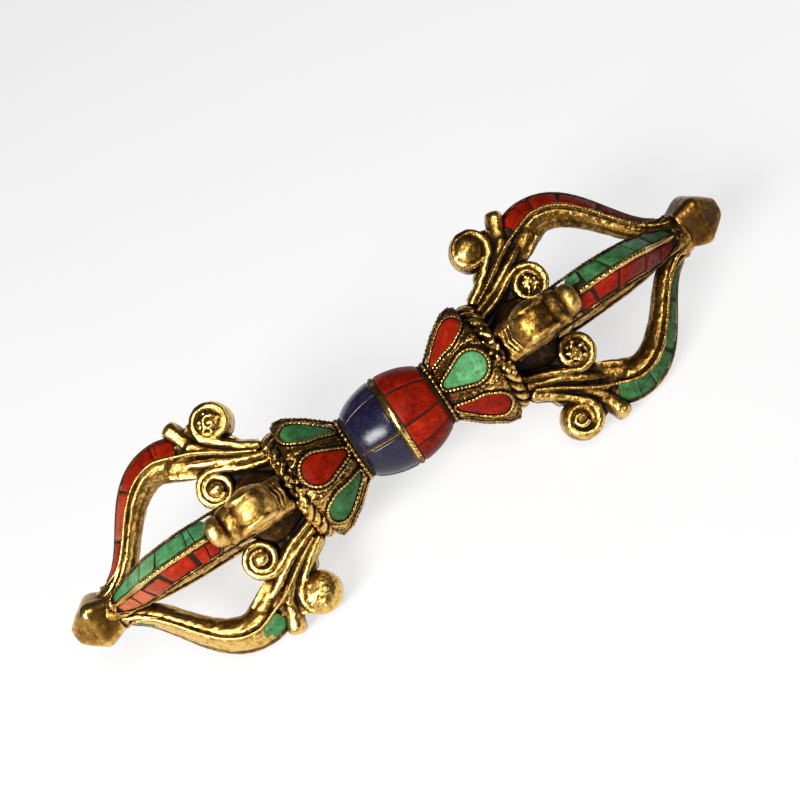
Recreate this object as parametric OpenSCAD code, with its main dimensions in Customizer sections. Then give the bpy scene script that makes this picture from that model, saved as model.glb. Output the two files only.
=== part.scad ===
// Five-pronged dorje with stone inlay: brass prongs and lotus cups on a stone grip.
// The long axis is X, Z is up, and the origin is the centre of the grip.
// Both ends are the same design, mirrored. All sizes are in millimetres.

/* [Grip] */
// Greatest diameter of the stone grip
grip_d = 20.6; // [19:0.2:23]
// Length of the grip between its two collars
grip_l = 20.8; // [19:0.2:23]
// Diameter of the grip where a collar meets it
grip_neck_d = 13.8; // [12.6:0.2:15]
// Thickness of the stones set round the grip
grip_stone_t = 1.4; // [1:0.1:1.8]
// Width of the brass band round the middle of the grip
band_w = 1.3; // [1:0.1:1.8]
// Height of the band above the stones
band_rise = 0.3; // [0.1:0.05:0.6]
// Width of the bevel along both edges of the band
band_bevel = 0.3; // [0.1:0.05:0.4]
// Length of the brass lip at both ends of the grip
grip_lip = 0.6; // [0.4:0.1:1]

/* [Lotus cups] */
// Thickness of the collar between the grip and a cup
collar_l = 1; // [0.6:0.1:1.6]
// Diameter of the collar
collar_d = 14.6; // [14:0.2:16]
// Length of a cup from its collar to its shoulder
cup_l = 11.6; // [11:0.2:13]
// Width of a cup across its flats at the collar
cup_neck_w = 13.4; // [13:0.2:15]
// Width of a cup across its flats at the bend of the petals
cup_belly_w = 26.4; // [25.6:0.2:28]
// Width of a cup across its flats at the shoulder
cup_w = 27.6; // [27:0.2:29]
// Length of a cup from its collar to the bend of the petals
cup_belly_l = 8.6; // [8:0.1:9.4]
// Bulge of a cup's sides half-way to the bend
cup_bulge = 0.5; // [0.2:0.1:1]
// Diameter of the boss that carries the rope rim and the prongs
boss_d = 19.4; // [19:0.2:21]
// Length of the boss
boss_l = 3.6; // [3.4:0.1:4.4]

/* [Petals] */
// Distance of a petal stone from the collar
petal_out = 0.7; // [0.4:0.1:0.9]
// Length of a petal stone along the axis
petal_l = 9.9; // [9:0.1:10.4]
// Width of a petal stone at its round end
petal_w = 6.5; // [5.6:0.1:7]
// Width of a petal stone at its narrow end
petal_tip_w = 2; // [1.6:0.1:2.6]
// Thickness of a petal stone
petal_t = 1.2; // [0.8:0.1:1.5]
// Height of the petal stones above the cup
petal_rise = 0.15; // [0:0.05:0.3]
// Width of the bezel round a petal stone
bezel_w = 0.8; // [0.5:0.1:1]
// Height of the bezel above the cup
bezel_h = 0.55; // [0.35:0.05:0.8]

/* [Rope rims] */
// Diameter of the rope
rope_d = 3.2; // [2.6:0.1:3.4]
// Depth of the rope's twist
rope_groove = 0.3; // [0.1:0.05:0.4]
// Number of lumps round the rope
rope_lumps = 26; // [20:2:32]

/* [Centre prongs] */
// Width of the bud at the foot of the shaft, where it meets the boss
bud_foot_w = 12; // [11:0.2:12.2]
// Greatest width of the bud
bud_w = 16.6; // [14:0.2:17]
// Length of the bud up to its greatest width
bud_l = 6.4; // [5.6:0.2:7]
// Length of the bud's round top
bud_top_l = 8; // [7.4:0.2:9]
// Width of the square shaft
shaft_w = 6.2; // [5:0.2:6.6]
// Distance from the boss to the end of the shaft's full width
shaft_full_l = 28.8; // [26:0.2:31]
// Length over which the shaft narrows
shaft_taper_l = 8.4; // [6:0.2:10]
// Width of the shaft where the prongs close on it
shaft_end_w = 4.4; // [3.8:0.1:4.8]
// Width of the finial at its underside
finial_neck_w = 10.2; // [9.6:0.2:11]
// Greatest width of the finial
finial_w = 11.6; // [11:0.2:13]
// Length of the finial up to its greatest width
finial_eave_l = 3.8; // [3:0.2:5]
// Width of the bevel over the finial's greatest width
finial_bevel = 1.1; // [0.6:0.1:1.5]
// Width of the finial's blunt point
finial_point_w = 3; // [2:0.2:4]
// Length of the finial
finial_l = 9.4; // [8:0.2:11]

/* [Prongs] */
// Reach of a prong from the boss to the finial
prong_reach = 46.4; // [44:0.2:50]
// Distance of the crown of the bow from the boss
crown_out = 20.4; // [19:0.2:22]
// Radius of the crown from the axis
crown_r = 23.7; // [22.6:0.1:25]
// Radius of the ridge where the prong meets the finial
tip_r = 4.6; // [4.2:0.1:5]
// Length of the shoulder between the nub and the crown
shoulder_l = 6; // [5:0.2:7]
// Drop of the shoulder from the crown to the nub
shoulder_drop = 1.8; // [1.4:0.1:2.2]
// How far the crown stays full before it falls
bow_full = 14.5; // [12:0.5:16]
// How far the tip is drawn out along the shaft
bow_draw = 10; // [8:0.5:11]
// Width of the bow at the crown
bow_w = 7.8; // [7.2:0.1:8.4]
// Width of the bow at its tip
bow_tip_w = 5.8; // [5.2:0.1:6.6]
// Depth of the bow at the crown
bow_depth = 7.8; // [7.2:0.1:8.4]
// Depth of the bow half-way to the tip
bow_mid_depth = 5.1; // [4.7:0.1:5.8]
// Depth of the bow at its tip
bow_tip_depth = 3.8; // [3.6:0.1:4.4]
// Rise of the inlaid roof at the crown
roof_rise = 2.3; // [2:0.1:2.6]
// Rise of the inlaid roof at the tip
roof_tip_rise = 1.1; // [0.9:0.1:1.4]
// Height of the eave that carries the edge wire
eave_h = 0.8; // [0.6:0.05:1]

/* [Stems and scrolls] */
// Width of the stem's strands
strand_w = 7.6; // [7:0.1:8]
// Width of the web between the strands
web_w = 6.2; // [5.6:0.1:6.6]
// Thickness of a strand, seen from the side
strand_t = 1.3; // [1.1:0.05:1.4]
// Width of the block at the foot of a stem
foot_w = 8.4; // [8:0.1:9]
// Radius of the foot's inner side from the axis
foot_lo = 7.2; // [7:0.1:7.4]
// Radius of the foot's outer side from the axis
foot_hi = 12.4; // [11.8:0.1:12.6]
// Diameter of the outer scroll
scroll_d = 9.2; // [8.8:0.1:9.4]
// Distance of the outer scroll from the boss
scroll_out = 6.3; // [6:0.1:6.6]
// Radius of the outer scroll's centre from the axis
scroll_r = 21.4; // [21.2:0.1:21.8]
// Diameter of the inner scroll
curl_d = 8.2; // [7.8:0.1:8.4]
// Distance of the inner scroll from the boss
curl_out = 14; // [13.6:0.1:14.4]
// Radius of the inner scroll's centre from the axis
curl_r = 9.3; // [9.1:0.1:9.6]
// Width of the nub at the head of the stem
nub_w = 6; // [5:0.2:7]
// Thickness of the nub
nub_t = 3.5; // [3:0.1:4]
// Radius that the nub reaches
nub_r = 26; // [25.4:0.1:26.6]
// Distance from the axis to the worn flats on the scrolls
rest_r = 20.3; // [20.2:0.05:20.35]

/* [Prong inlay] */
// Thickness of the prong stones
tile_t = 0.9; // [0.7:0.05:1]
// Height of the prong stones above the roof
tile_rise = 0.15; // [0:0.05:0.25]
// Width of the land under the ridge wire
ridge_w = 1.1; // [0.9:0.1:1.4]
// Width of the lip beside the edge wire
lip_w = 0.35; // [0.3:0.05:0.5]
// Diameter of the beaded wires
wire_d = 0.9; // [0.7:0.05:1]
// Gap between neighbouring stones
joint_gap = 0.3; // [0.2:0.05:0.5]

/* [Fits] */
// Diameter of the pin through the grip and of the centre prongs' tenons
pin_d = 5; // [4.4:0.1:5.2]
// Length of the pin in each cup
pin_in_cup = 6.4; // [5:0.1:7]
// Depth of the tenons in the cups
tenon_l = 5; // [4:0.1:5.4]
// Width of a prong's tenon
tenon_w = 5; // [4.4:0.1:5.2]
// Height of a prong's tenon
tenon_h = 2.6; // [2:0.1:2.7]
// Radius of a tenon's inner side from the axis
tenon_r = 6.2; // [5.9:0.1:6.3]
// Clearance round pins and tenons
fit = 0.05; // [0.03:0.01:0.1]
// Film of solder or lac between seated pieces
seat = 0.05; // [0.03:0.01:0.08]

/* [Hidden] */
$fn = 48;
ENDS = [["left", 0], ["right", 1]];
PLACES = [["back_top", 45], ["front_top", 135], ["front_base", 225], ["back_base", 315]];

BRASS = "#b98a32";
CORAL = "#b4200f";
TURQUOISE = "#3a9a6c";
LAPIS = "#2b2a55";

collar_x = grip_l / 2;
cup_x = collar_x + collar_l;
shoulder_x = cup_x + cup_l;
boss_x = shoulder_x + boss_l;
finial_x = boss_x + prong_reach;
tip_x = finial_x + finial_l;
wire_r = wire_d / 2;
ridge_half = ridge_w / 2;

// Turns a shape made about Z so that it lies about X, with its start at +Y.
module about_x() {
    rotate([90, 0, 90])
        children();
}

// Places one end's pieces: end 1 is the right end as drawn, end 0 is its mirror image.
module at_end(end) {
    if (end == 1)
        children();
    else
        mirror([1, 0, 0])
            children();
}

// Turns a piece drawn with its outward side at +Z to an angle counted from +Y.
module at_angle(angle) {
    rotate([angle - 90, 0, 0])
        children();
}

// A closed skin over rings that each hold the same number of points.
module skin(rings) {
    m = len(rings[0]);
    last = len(rings) - 1;
    sides = [for (i = [0 : last - 1], j = [0 : m - 1])
        let (a = i * m + j, b = i * m + (j + 1) % m)
        each [[a, b, b + m], [a, b + m, a + m]]];
    caps = [[for (j = [m - 1 : -1 : 0]) j], [for (j = [0 : m - 1]) last * m + j]];
    polyhedron([for (ring = rings) each ring], concat(sides, caps));
}

// A solid with regular cross-sections along X: each level is [x, distance to its flats].
module loft(levels, sides, grow = 0) {
    skin([for (v = levels)
        [for (k = [0 : sides - 1])
            let (a = (k - 0.5) * 360 / sides, r = (v[1] + grow) / cos(180 / sides))
            [v[0], r * sin(a), r * cos(a)]]]);
}

// Stone grip: an oval of revolution, cut off at both necks.
grip_half = grip_l / 2;
grip_oval = grip_half / sqrt(1 - pow(grip_neck_d / grip_d, 2));
lip_x = grip_half - grip_lip;
land_x = band_w / 2 + seat;
coral_joints = [8, 60, 105, 150, 181, 226, 271, 316];
lapis_joints = [35, 97, 153, 214, 274, 334];

function grip_r(x) = grip_d / 2 * sqrt(1 - pow(x / grip_oval, 2));

function spread(from, to, steps) = [for (i = [0 : steps]) from + (to - from) * i / steps];

module grip_core() {
    floor_r = grip_stone_t + seat;
    color(BRASS)
        about_x()
            rotate_extrude()
                polygon(concat(
                    [[pin_d / 2 + fit, -grip_half], [grip_r(grip_half), -grip_half],
                        [grip_r(lip_x), -lip_x]],
                    [for (x = spread(-lip_x, -land_x, 8)) [grip_r(x) - floor_r, x]],
                    [[grip_d / 2 - grip_stone_t / 2, -land_x], [grip_d / 2 - grip_stone_t / 2, land_x]],
                    [for (x = spread(land_x, lip_x, 8)) [grip_r(x) - floor_r, x]],
                    [[grip_r(lip_x), lip_x], [grip_r(grip_half), grip_half],
                        [pin_d / 2 + fit, grip_half]]));
}

module centre_pin() {
    color(BRASS)
        about_x()
            cylinder(d = pin_d, h = 2 * (cup_x + pin_in_cup), center = true);
}

module grip_band() {
    inner = grip_d / 2 - grip_stone_t / 2 + seat;
    outer = grip_d / 2 + band_rise;
    color(BRASS)
        about_x()
            rotate_extrude()
                polygon([[inner, -band_w / 2], [outer - band_bevel, -band_w / 2], [outer, -band_w / 5],
                    [outer, band_w / 5], [outer - band_bevel, band_w / 2], [inner, band_w / 2]]);
}

// Stones round one half of the grip, each between two joint angles.
module grip_stones(joints) {
    x0 = land_x + seat;
    x1 = lip_x - seat;
    n = len(joints);
    outline = concat(
        [for (x = spread(x0, x1, 8)) [grip_r(x), x]],
        [for (x = spread(x1, x0, 8)) [grip_r(x) - grip_stone_t, x]]);
    half_gap = joint_gap / grip_d * 360 / PI / 2;
    about_x()
        for (k = [0 : n - 1]) {
            a = joints[k] + half_gap;
            b = joints[(k + 1) % n] - half_gap;
            rotate([0, 0, a])
                rotate_extrude(angle = (b - a + 720) % 360)
                    polygon(outline);
        }
}

module lapis_stones() {
    color(LAPIS)
        at_end(0)
            grip_stones(lapis_joints);
}

module coral_stones() {
    color(CORAL)
        at_end(1)
            grip_stones(coral_joints);
}

module collar(end) {
    rim = collar_l / 4;
    color(BRASS)
        at_end(end)
            about_x()
                rotate_extrude()
                    polygon([[pin_d / 2 + fit, collar_x + seat], [collar_d / 2 - rim, collar_x + seat],
                        [collar_d / 2, collar_x + rim], [collar_d / 2, cup_x - rim],
                        [collar_d / 2 - rim, cup_x - seat], [pin_d / 2 + fit, cup_x - seat]]);
}

// Lotus cup: eight flat sides that bulge once, each with a petal-shaped pocket.
belly_x = cup_x + cup_belly_l;
cup_levels = [
    [cup_x, cup_neck_w / 2],
    [(cup_x + belly_x) / 2, cup_neck_w / 4 + cup_belly_w / 4 + cup_bulge],
    [belly_x, cup_belly_w / 2],
    [shoulder_x, cup_w / 2]];
petal_x = cup_x + petal_out;

// A petal's outline, seen from outside: two round ends and their common tangents.
function petal(grow) =
    let (r0 = petal_tip_w / 2 + grow, r1 = petal_w / 2 + grow,
        c0 = petal_x + petal_tip_w / 2, c1 = petal_x + petal_l - petal_w / 2,
        lean = asin((r1 - r0) / (c1 - c0)))
    concat(
        [for (a = spread(-90 - lean, 90 + lean, 12)) [c1 + r1 * cos(a), r1 * sin(a)]],
        [for (a = spread(90 + lean, 270 - lean, 6)) [c0 + r0 * cos(a), r0 * sin(a)]]);

module petal_prism(grow) {
    linear_extrude(cup_w)
        polygon(petal(grow));
}

// What lies over one flat of a cup, from lo to hi above it, inside a petal's outline.
module petal_layer(lo, hi, grow) {
    intersection() {
        petal_prism(grow);
        plate(cup_w, concat(
            [for (v = cup_levels) v + [0, lo]],
            [for (i = [len(cup_levels) - 1 : -1 : 0]) cup_levels[i] + [0, hi]]));
    }
}

module lotus_cup(end) {
    color(BRASS)
        at_end(end)
            difference() {
                union() {
                    loft(cup_levels, 8);
                    about_x()
                        translate([0, 0, shoulder_x - 1])
                            cylinder(d = boss_d, h = boss_l + 1);
                }
                about_x()
                    translate([0, 0, cup_x - 1])
                        cylinder(d = pin_d + 2 * fit, h = boss_x - cup_x + 2);
                for (a = [45 : 90 : 315])
                    at_angle(a)
                        tenon(fit);
                for (a = [0 : 45 : 315])
                    at_angle(a)
                        petal_layer(-petal_t - seat, bezel_h, seat);
            }
}

module petals(end, first) {
    at_end(end)
        for (a = [first : 90 : first + 270])
            at_angle(a)
                petal_layer(-petal_t, petal_rise, 0);
}

// On the right cup the turquoise petals lie in line with the prongs, on the left cup the coral ones.
module coral_petals(end) {
    color(CORAL)
        petals(end, 45 - 45 * end);
}

module turquoise_petals(end) {
    color(TURQUOISE)
        petals(end, 45 * end);
}

module petal_bezels(end) {
    color(BRASS)
        at_end(end)
            for (a = [0 : 45 : 315])
                at_angle(a)
                    difference() {
                        petal_layer(seat, bezel_h, seat + bezel_w);
                        petal_prism(seat);
                    }
}

// Rope rim: a ring round the boss whose section turns as it goes round.
module rope_rim(end) {
    steps = 2 * rope_lumps;
    ring_r = boss_d / 2 + seat + rope_d / 2;
    ring_x = shoulder_x + seat + rope_d / 2;
    lobes = 6;
    points = [for (i = [0 : steps - 1], j = [0 : lobes - 1])
        let (round_a = 360 * i / steps, a = 360 * j / lobes,
            r = rope_d / 2 - rope_groove * (1 - cos(2 * a + 180 * i)) / 2,
            out = ring_r + r * cos(a))
        [ring_x + r * sin(a), out * cos(round_a), out * sin(round_a)]];
    faces = [for (i = [0 : steps - 1], j = [0 : lobes - 1])
        let (k = (i + 1) % steps, n = (j + 1) % lobes,
            p = i * lobes + j, q = i * lobes + n, s = k * lobes + n, t = k * lobes + j)
        each [[p, s, q], [p, t, s]]];
    color(BRASS)
        at_end(end)
            polyhedron(points, faces);
}

bud_x = boss_x + bud_l;
bud_top_x = bud_x + bud_top_l;
shaft_close_x = boss_x + shaft_full_l;
bud_levels = [
    [boss_x + seat, bud_foot_w / 2],
    [bud_x, bud_w / 2],
    [bud_x + bud_top_l / 3, bud_w / 2 - 0.5],
    [bud_x + bud_top_l / 2, bud_w / 4 + shaft_w / 4],
    [bud_top_x, shaft_w / 2 - 0.2]];
shaft_levels = [
    [boss_x + seat, shaft_w / 2],
    [shaft_close_x, shaft_w / 2],
    [shaft_close_x + shaft_taper_l, shaft_end_w / 2],
    [finial_x + 0.5, shaft_end_w / 2]];
finial_eave_x = finial_x + finial_eave_l;
finial_levels = [
    [finial_x, finial_neck_w / 2],
    [finial_eave_x, finial_w / 2],
    [finial_eave_x + finial_bevel, (finial_w - finial_bevel / 2) / 2],
    [tip_x, finial_point_w / 2]];

module centre_prong(end) {
    color(BRASS)
        at_end(end)
            at_angle(45)
                union() {
                    about_x()
                        translate([0, 0, boss_x - tenon_l])
                            cylinder(d = pin_d, h = tenon_l + 1);
                    loft(bud_levels, 8);
                    loft(shaft_levels, 4);
                    loft(finial_levels, 4);
                }
}

// Ridge of a prong in the plane of the axis: a short shoulder, then the long bow.
function bezier(p, t) =
    pow(1 - t, 3) * p[0] + 3 * pow(1 - t, 2) * t * p[1] + 3 * (1 - t) * t * t * p[2] + pow(t, 3) * p[3];

crown = [boss_x + crown_out, crown_r];
bow_end = [finial_x, tip_r];
shoulder = [crown - [shoulder_l, shoulder_drop], crown - [2 * shoulder_l, shoulder_drop] / 3,
    crown - [shoulder_l / 3, 0], crown];
bow = [crown, crown + [bow_full, 0], bow_end + [-bow_draw, 0.3], bow_end];

// The ridge from its start (0), through the crown (1), to the tip (2).
function ridge(s) = s < 1 ? bezier(shoulder, s) : bezier(bow, s - 1);

function heading(s) =
    let (step = 0.001, d = ridge(min(s + step, 2)) - ridge(max(s - step, 0)))
    d / norm(d);

// A point of the bow: s along the ridge, b to the side, n outward from the ridge.
function on_bow(s, b, n) =
    let (p = ridge(s), t = heading(s))
    [p.x - n * t.y, b, p.y + n * t.x];

function eave_b(s) = lookup(s, [[0, bow_w / 2 - 0.4], [1, bow_w / 2], [1.5, bow_w / 2 - 0.2], [2, bow_tip_w / 2]]);
function rise(s) = lookup(s, [[0, roof_rise], [1.2, roof_rise], [2, roof_tip_rise]]);
function depth(s) = lookup(s, [[0, bow_depth], [1, bow_depth], [1.5, bow_mid_depth], [2, bow_tip_depth]]);
function roof_n(s, b) = -rise(s) * (b - ridge_half) / (eave_b(s) - ridge_half);

// Half of the bow's section from the ridge to the inner side, with the stone bed sunk by bed.
function half_section(s, bed) =
    let (w = eave_b(s), h = rise(s), inner = w - lip_w, low = -h - eave_h, body = w - 0.5,
        body_n = low - 0.35, body_d = depth(s) + body_n)
    [[ridge_half, 0], [ridge_half, -bed], [inner, roof_n(s, inner) - bed], [inner, roof_n(s, inner)],
        [w, -h], [w, low], [w - 0.75, body_n],
        [body * cos(40), body_n - body_d * sin(40)]];

function bow_ring(s, bed) =
    let (half = half_section(s, bed), n = len(half) - 1)
    concat(
        [for (p = half) on_bow(s, p[0], p[1])],
        [on_bow(s, 0, -depth(s))],
        [for (i = [n : -1 : 0]) on_bow(s, -half[i][0], half[i][1])]);

bed_start = 0.5;
bed_end = 1.88;
bed_step = 0.01;
shallow = 0.04;
bow_stops = concat(spread(bed_start, 1, 2), [for (s = spread(1, bed_end, 9)) if (s > 1) s]);

module bow_body() {
    skin(concat(
        [bow_ring(0, shallow), bow_ring(bed_start - bed_step, shallow)],
        [for (s = bow_stops) bow_ring(s, tile_t + seat)],
        [bow_ring(bed_end + bed_step, shallow), bow_ring(2, shallow)]));
}

// Band of even thickness along a line in the plane of the axis.
function side_step(line, i, w) =
    let (d = line[min(i + 1, len(line) - 1)] - line[max(i - 1, 0)])
    line[i] + w / norm(d) * [-d.y, d.x];

function band(line, w) = concat(
    [for (i = [0 : len(line) - 1]) side_step(line, i, w / 2)],
    [for (i = [len(line) - 1 : -1 : 0]) side_step(line, i, -w / 2)]);

// A scroll's spiral from its start angle, inward over one turn and a third.
spiral_gap = 0.4;
spiral_steps = 12;
spiral_turn = 460;

function spiral(centre, d, start, turn) = [for (i = [0 : spiral_steps])
    let (swing = spiral_turn * i / spiral_steps, a = start + turn * swing,
        r = (d - strand_t) / 2 - (strand_t + spiral_gap) * swing / 360)
    centre + r * [cos(a), sin(a)]];

scroll_c = [boss_x + scroll_out, scroll_r];
curl_c = [boss_x + curl_out, curl_r];
foot_x = boss_x + seat;
scroll_line = concat([[foot_x, foot_hi - strand_t / 2], [foot_x + 3, foot_hi + 1.4]],
    spiral(scroll_c, scroll_d, -61, 1));
curl_line = concat([[foot_x, foot_lo + strand_t / 2], [foot_x + 6, foot_lo + 2.6]],
    spiral(curl_c, curl_d, 112, -1));
stem_line = [[foot_x + 1, 9.6], [foot_x + 7, 11.4], [foot_x + 12, 14.4], [foot_x + 19, 16.4]];
wire_line = [[foot_x + 2.6, 11.6], [foot_x + 5.6, 13.2], [foot_x + 10, 16.4]];

// A plate in the plane of the axis, centred on it.
module plate(w, points) {
    rotate([90, 0, 0])
        linear_extrude(w, center = true)
            polygon(points);
}

module crossbar(centre, d, w, sides = 12) {
    translate([centre.x, 0, centre.y])
        rotate([90, 0, 0])
            cylinder(d = d, h = w, center = true, $fn = sides);
}

// A round strand down the middle of the stem, into the body of the bow.
module stem_strand() {
    steps = 8;
    for (i = [0 : steps - 1])
        hull() {
            crossbar(bezier(stem_line, i / steps), strand_t + 0.3, strand_w, 6);
            crossbar(bezier(stem_line, (i + 1) / steps), strand_t + 0.3, strand_w, 6);
        }
}

module nub() {
    head = [boss_x + 15, nub_r - nub_t / 2];
    foot = [boss_x + 12.8, nub_r - 7.4];
    hull() {
        crossbar(foot, nub_t + 0.6, nub_w);
        crossbar(head, nub_t, nub_w - 1.2);
        crossbar(head, nub_t - 0.8, nub_w);
    }
}

module stem() {
    plate(foot_w, [[foot_x, foot_lo], [foot_x + 2, foot_lo + 0.7], [foot_x + 2, foot_hi + 1], [foot_x, foot_hi]]);
    plate(strand_w, band(scroll_line, strand_t));
    plate(strand_w, band(curl_line, strand_t));
    crossbar(scroll_c, scroll_d - 0.8, web_w);
    crossbar(curl_c, curl_d - 0.8, web_w);
    plate(web_w, [[foot_x, foot_lo], [foot_x + 6, foot_lo + 2], [curl_c.x - 2, curl_c.y + 3],
        on_bow(0.2, 0, 0.5 - bow_depth).x * [1, 0] + on_bow(0.2, 0, 0.5 - bow_depth).z * [0, 1],
        ridge(0.2) - [0, 0.8], scroll_c + [4, -1], scroll_c + [0, -3.5], scroll_c + [-3, -3],
        [foot_x + 2.5, foot_hi + 1.4], [foot_x, foot_hi]]);
    stem_strand();
    nub();
}

tenon_root = 0.3;

// The tenon that holds a prong in its cup; grow turns it into the mortise.
module tenon(grow) {
    translate([boss_x - tenon_l - grow, -tenon_w / 2 - grow, tenon_r - grow])
        cube([tenon_l + 2 * grow + tenon_root, tenon_w + 2 * grow, tenon_h + 2 * grow]);
}

// The quarter of the space round the axis that one prong may fill.
module quarter() {
    size = 2 * nub_r;
    translate([foot_x, 0, 0])
        rotate([90, 0, 90])
            linear_extrude(finial_x)
                polygon([[0, seat], [size, size + seat], [-size, size + seat]]);
}

// Flats worn where the scrolls rest, one on each side.
module rest_flats() {
    for (side = [-45, 45])
        rotate([side, 0, 0])
            translate([0, -nub_r, rest_r])
                cube([2 * finial_x, 2 * nub_r, nub_r]);
}

module prong(end, angle) {
    color(BRASS)
        at_end(end)
            at_angle(angle)
                difference() {
                    union() {
                        intersection() {
                            union() {
                                bow_body();
                                stem();
                            }
                            quarter();
                        }
                        tenon(0);
                    }
                    loft(shaft_levels, 4, seat);
                    translate([finial_x - seat, -nub_r, 0])
                        cube(2 * nub_r);
                    rest_flats();
                }
}

// Stones of one roof face; they lie on the +Y side and are mirrored for the other face.
module roof_tiles(joints) {
    gap_s = 0.012;
    for (k = [0 : len(joints) - 2])
        skin([for (s = spread(joints[k] + gap_s, joints[k + 1] - gap_s, 3))
            let (b0 = ridge_half + seat, b1 = eave_b(s) - lip_w - seat)
            [on_bow(s, b0, roof_n(s, b0) + tile_rise), on_bow(s, b1, roof_n(s, b1) + tile_rise),
                on_bow(s, b1, roof_n(s, b1) - tile_t + seat), on_bow(s, b0, roof_n(s, b0) - tile_t + seat)]]);
}

turquoise_joints = [bed_start, 0.85, 1.22, 1.52, bed_end];
coral_tile_joints = [bed_start, 0.75, 1.1, 1.4, bed_end];

module turquoise_tiles(end, angle) {
    color(TURQUOISE)
        at_end(end)
            at_angle(angle)
                roof_tiles(turquoise_joints);
}

module coral_tiles(end, angle) {
    color(CORAL)
        at_end(end)
            at_angle(angle)
                mirror([0, 1, 0])
                    roof_tiles(coral_tile_joints);
}

// A four-sided wire along points whose line stays near the plane of the axis.
module wire(points) {
    last = len(points) - 1;
    skin([for (i = [0 : last])
        let (d = points[min(i + 1, last)] - points[max(i - 1, 0)], up = [-d.z, 0, d.x] / norm([d.x, d.z]))
        [for (a = [0 : 90 : 270]) points[i] + wire_r * (cos(a) * [0, 1, 0] + sin(a) * up)]]);
}

function eave_point(s) = on_bow(s, eave_b(s) + seat + wire_r, -rise(s) - eave_h / 2);

module bead_wires(end, angle) {
    stops = concat([0, 0.5], spread(1, 1.92, 8));
    foot = [for (p = wire_line) [p.x, web_w / 2 + seat + wire_r, p.y]];
    edge = concat(foot, [for (s = stops) eave_point(s)]);
    color(BRASS)
        at_end(end)
            at_angle(angle) {
                wire(edge);
                mirror([0, 1, 0])
                    wire(edge);
                wire([for (s = bow_stops) on_bow(s, 0, wire_r + seat)]);
            }
}

grip_core();
centre_pin();
grip_band();
lapis_stones();
coral_stones();
for (e = ENDS) {
    collar(e[1]);
    lotus_cup(e[1]);
    coral_petals(e[1]);
    turquoise_petals(e[1]);
    petal_bezels(e[1]);
    rope_rim(e[1]);
    centre_prong(e[1]);
    for (p = PLACES) {
        place = str(e[0], "_", p[0]);
        prong(e[1], p[1]);
        coral_tiles(e[1], p[1]);
        turquoise_tiles(e[1], p[1]);
        bead_wires(e[1], p[1]);
    }
}
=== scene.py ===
"""Looks of the dorje: cast brass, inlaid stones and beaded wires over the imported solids."""
import math

import bpy
import numpy as np
from mathutils import Matrix, Vector


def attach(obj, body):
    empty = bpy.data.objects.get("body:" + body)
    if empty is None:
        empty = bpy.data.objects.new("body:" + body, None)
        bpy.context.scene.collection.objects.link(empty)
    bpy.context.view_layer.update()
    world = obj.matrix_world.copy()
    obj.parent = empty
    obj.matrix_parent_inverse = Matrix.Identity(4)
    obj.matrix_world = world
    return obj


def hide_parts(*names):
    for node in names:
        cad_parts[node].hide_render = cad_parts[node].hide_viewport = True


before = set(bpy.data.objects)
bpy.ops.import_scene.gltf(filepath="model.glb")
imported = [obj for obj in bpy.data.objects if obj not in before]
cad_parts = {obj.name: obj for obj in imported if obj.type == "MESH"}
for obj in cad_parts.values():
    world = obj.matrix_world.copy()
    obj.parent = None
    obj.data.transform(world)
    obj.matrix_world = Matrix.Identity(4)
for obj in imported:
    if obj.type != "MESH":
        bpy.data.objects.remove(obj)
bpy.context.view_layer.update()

MM = 0.001
TURN = 2 * math.pi
SIDES = (1, -1)
ENDS = [("left", 0), ("right", 1)]
PLACES = [("back_top", 45), ("front_top", 135), ("front_base", 225), ("back_base", 315)]
EIGHTHS = range(0, 360, 45)

# Sizes of the solids, in millimetres.
GRIP_R, GRIP_HALF, GRIP_OVAL, GRIP_LIP, BAND_W = 10.5, 10.4, 14.008, 0.6, 1.3
BORE_R = 2.6
CUP_X, SHOULDER_X, BOSS_X, FOOT_X = 11.4, 23.0, 26.6, 26.65
CUP_LEVELS = [(CUP_X, 6.7), (15.7, 10.45), (20.0, 13.2), (SHOULDER_X, 13.8)]
PETAL_X, PETAL_L, PETAL_W, PETAL_TIP_W = 12.1, 9.9, 6.5, 2.0
BOSS_R, ROPE_R = 9.7, 1.6
CROWN, BOW_END = np.array([47.0, 24.5]), np.array([73.0, 4.6])
RIDGE_HALF, LIP_W, EAVE_H, TILE_T, TILE_RISE = 0.55, 0.35, 0.8, 0.9, 0.15
SCROLL_C, CURL_C = np.array([32.9, 21.4]), np.array([39.4, 8.7])
STRAND_T = 1.3
BED_START, BED_END = 0.03, 1.88
REST_R = 20.28
FLOOR_Z = -20.3


# Numbers that repeat each run.

HASH_STEPS, HASH_MIX = np.array([374761393, 668265263, 2147483647]), 1274126177


def hashed(cells, seed):
    """One number from 0 to 1 for each whole-number cell."""
    n = cells @ HASH_STEPS + seed * HASH_MIX
    n = (n ^ (n >> 13)) * HASH_MIX & 0x7FFFFFFF
    return ((n ^ (n >> 16)) & 0xFFFF) / 0xFFFF


def eased(t):
    """Shares from 0 to 1, with a soft start and end."""
    return t * t * (3 - 2 * t)


def soft_noise(points, size, seed):
    """Smooth noise from -1 to 1 over points, with lumps of the given size."""
    p = np.asarray(points, float) / size
    cell = np.floor(p).astype(np.int64)
    near = eased(p - cell)
    total = np.zeros(len(p))
    for corner in np.ndindex(2, 2, 2):
        share = np.where(corner, near, 1 - near).prod(axis=1)
        total += share * hashed(cell + corner, seed)
    return 2 * total - 1


# Lines.

def unit(v):
    return v / np.maximum(np.linalg.norm(v, axis=-1, keepdims=True), 1e-12)


def full_turn(count):
    return np.linspace(0, TURN, count, endpoint=False)


def circle(a):
    return np.stack([np.cos(a), np.sin(a)], axis=1)


def ring_x(x, r, a):
    """Points at the angles a of a ring about the axis."""
    return np.stack([np.full(len(a), x), r * np.cos(a), r * np.sin(a)], axis=1)


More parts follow.
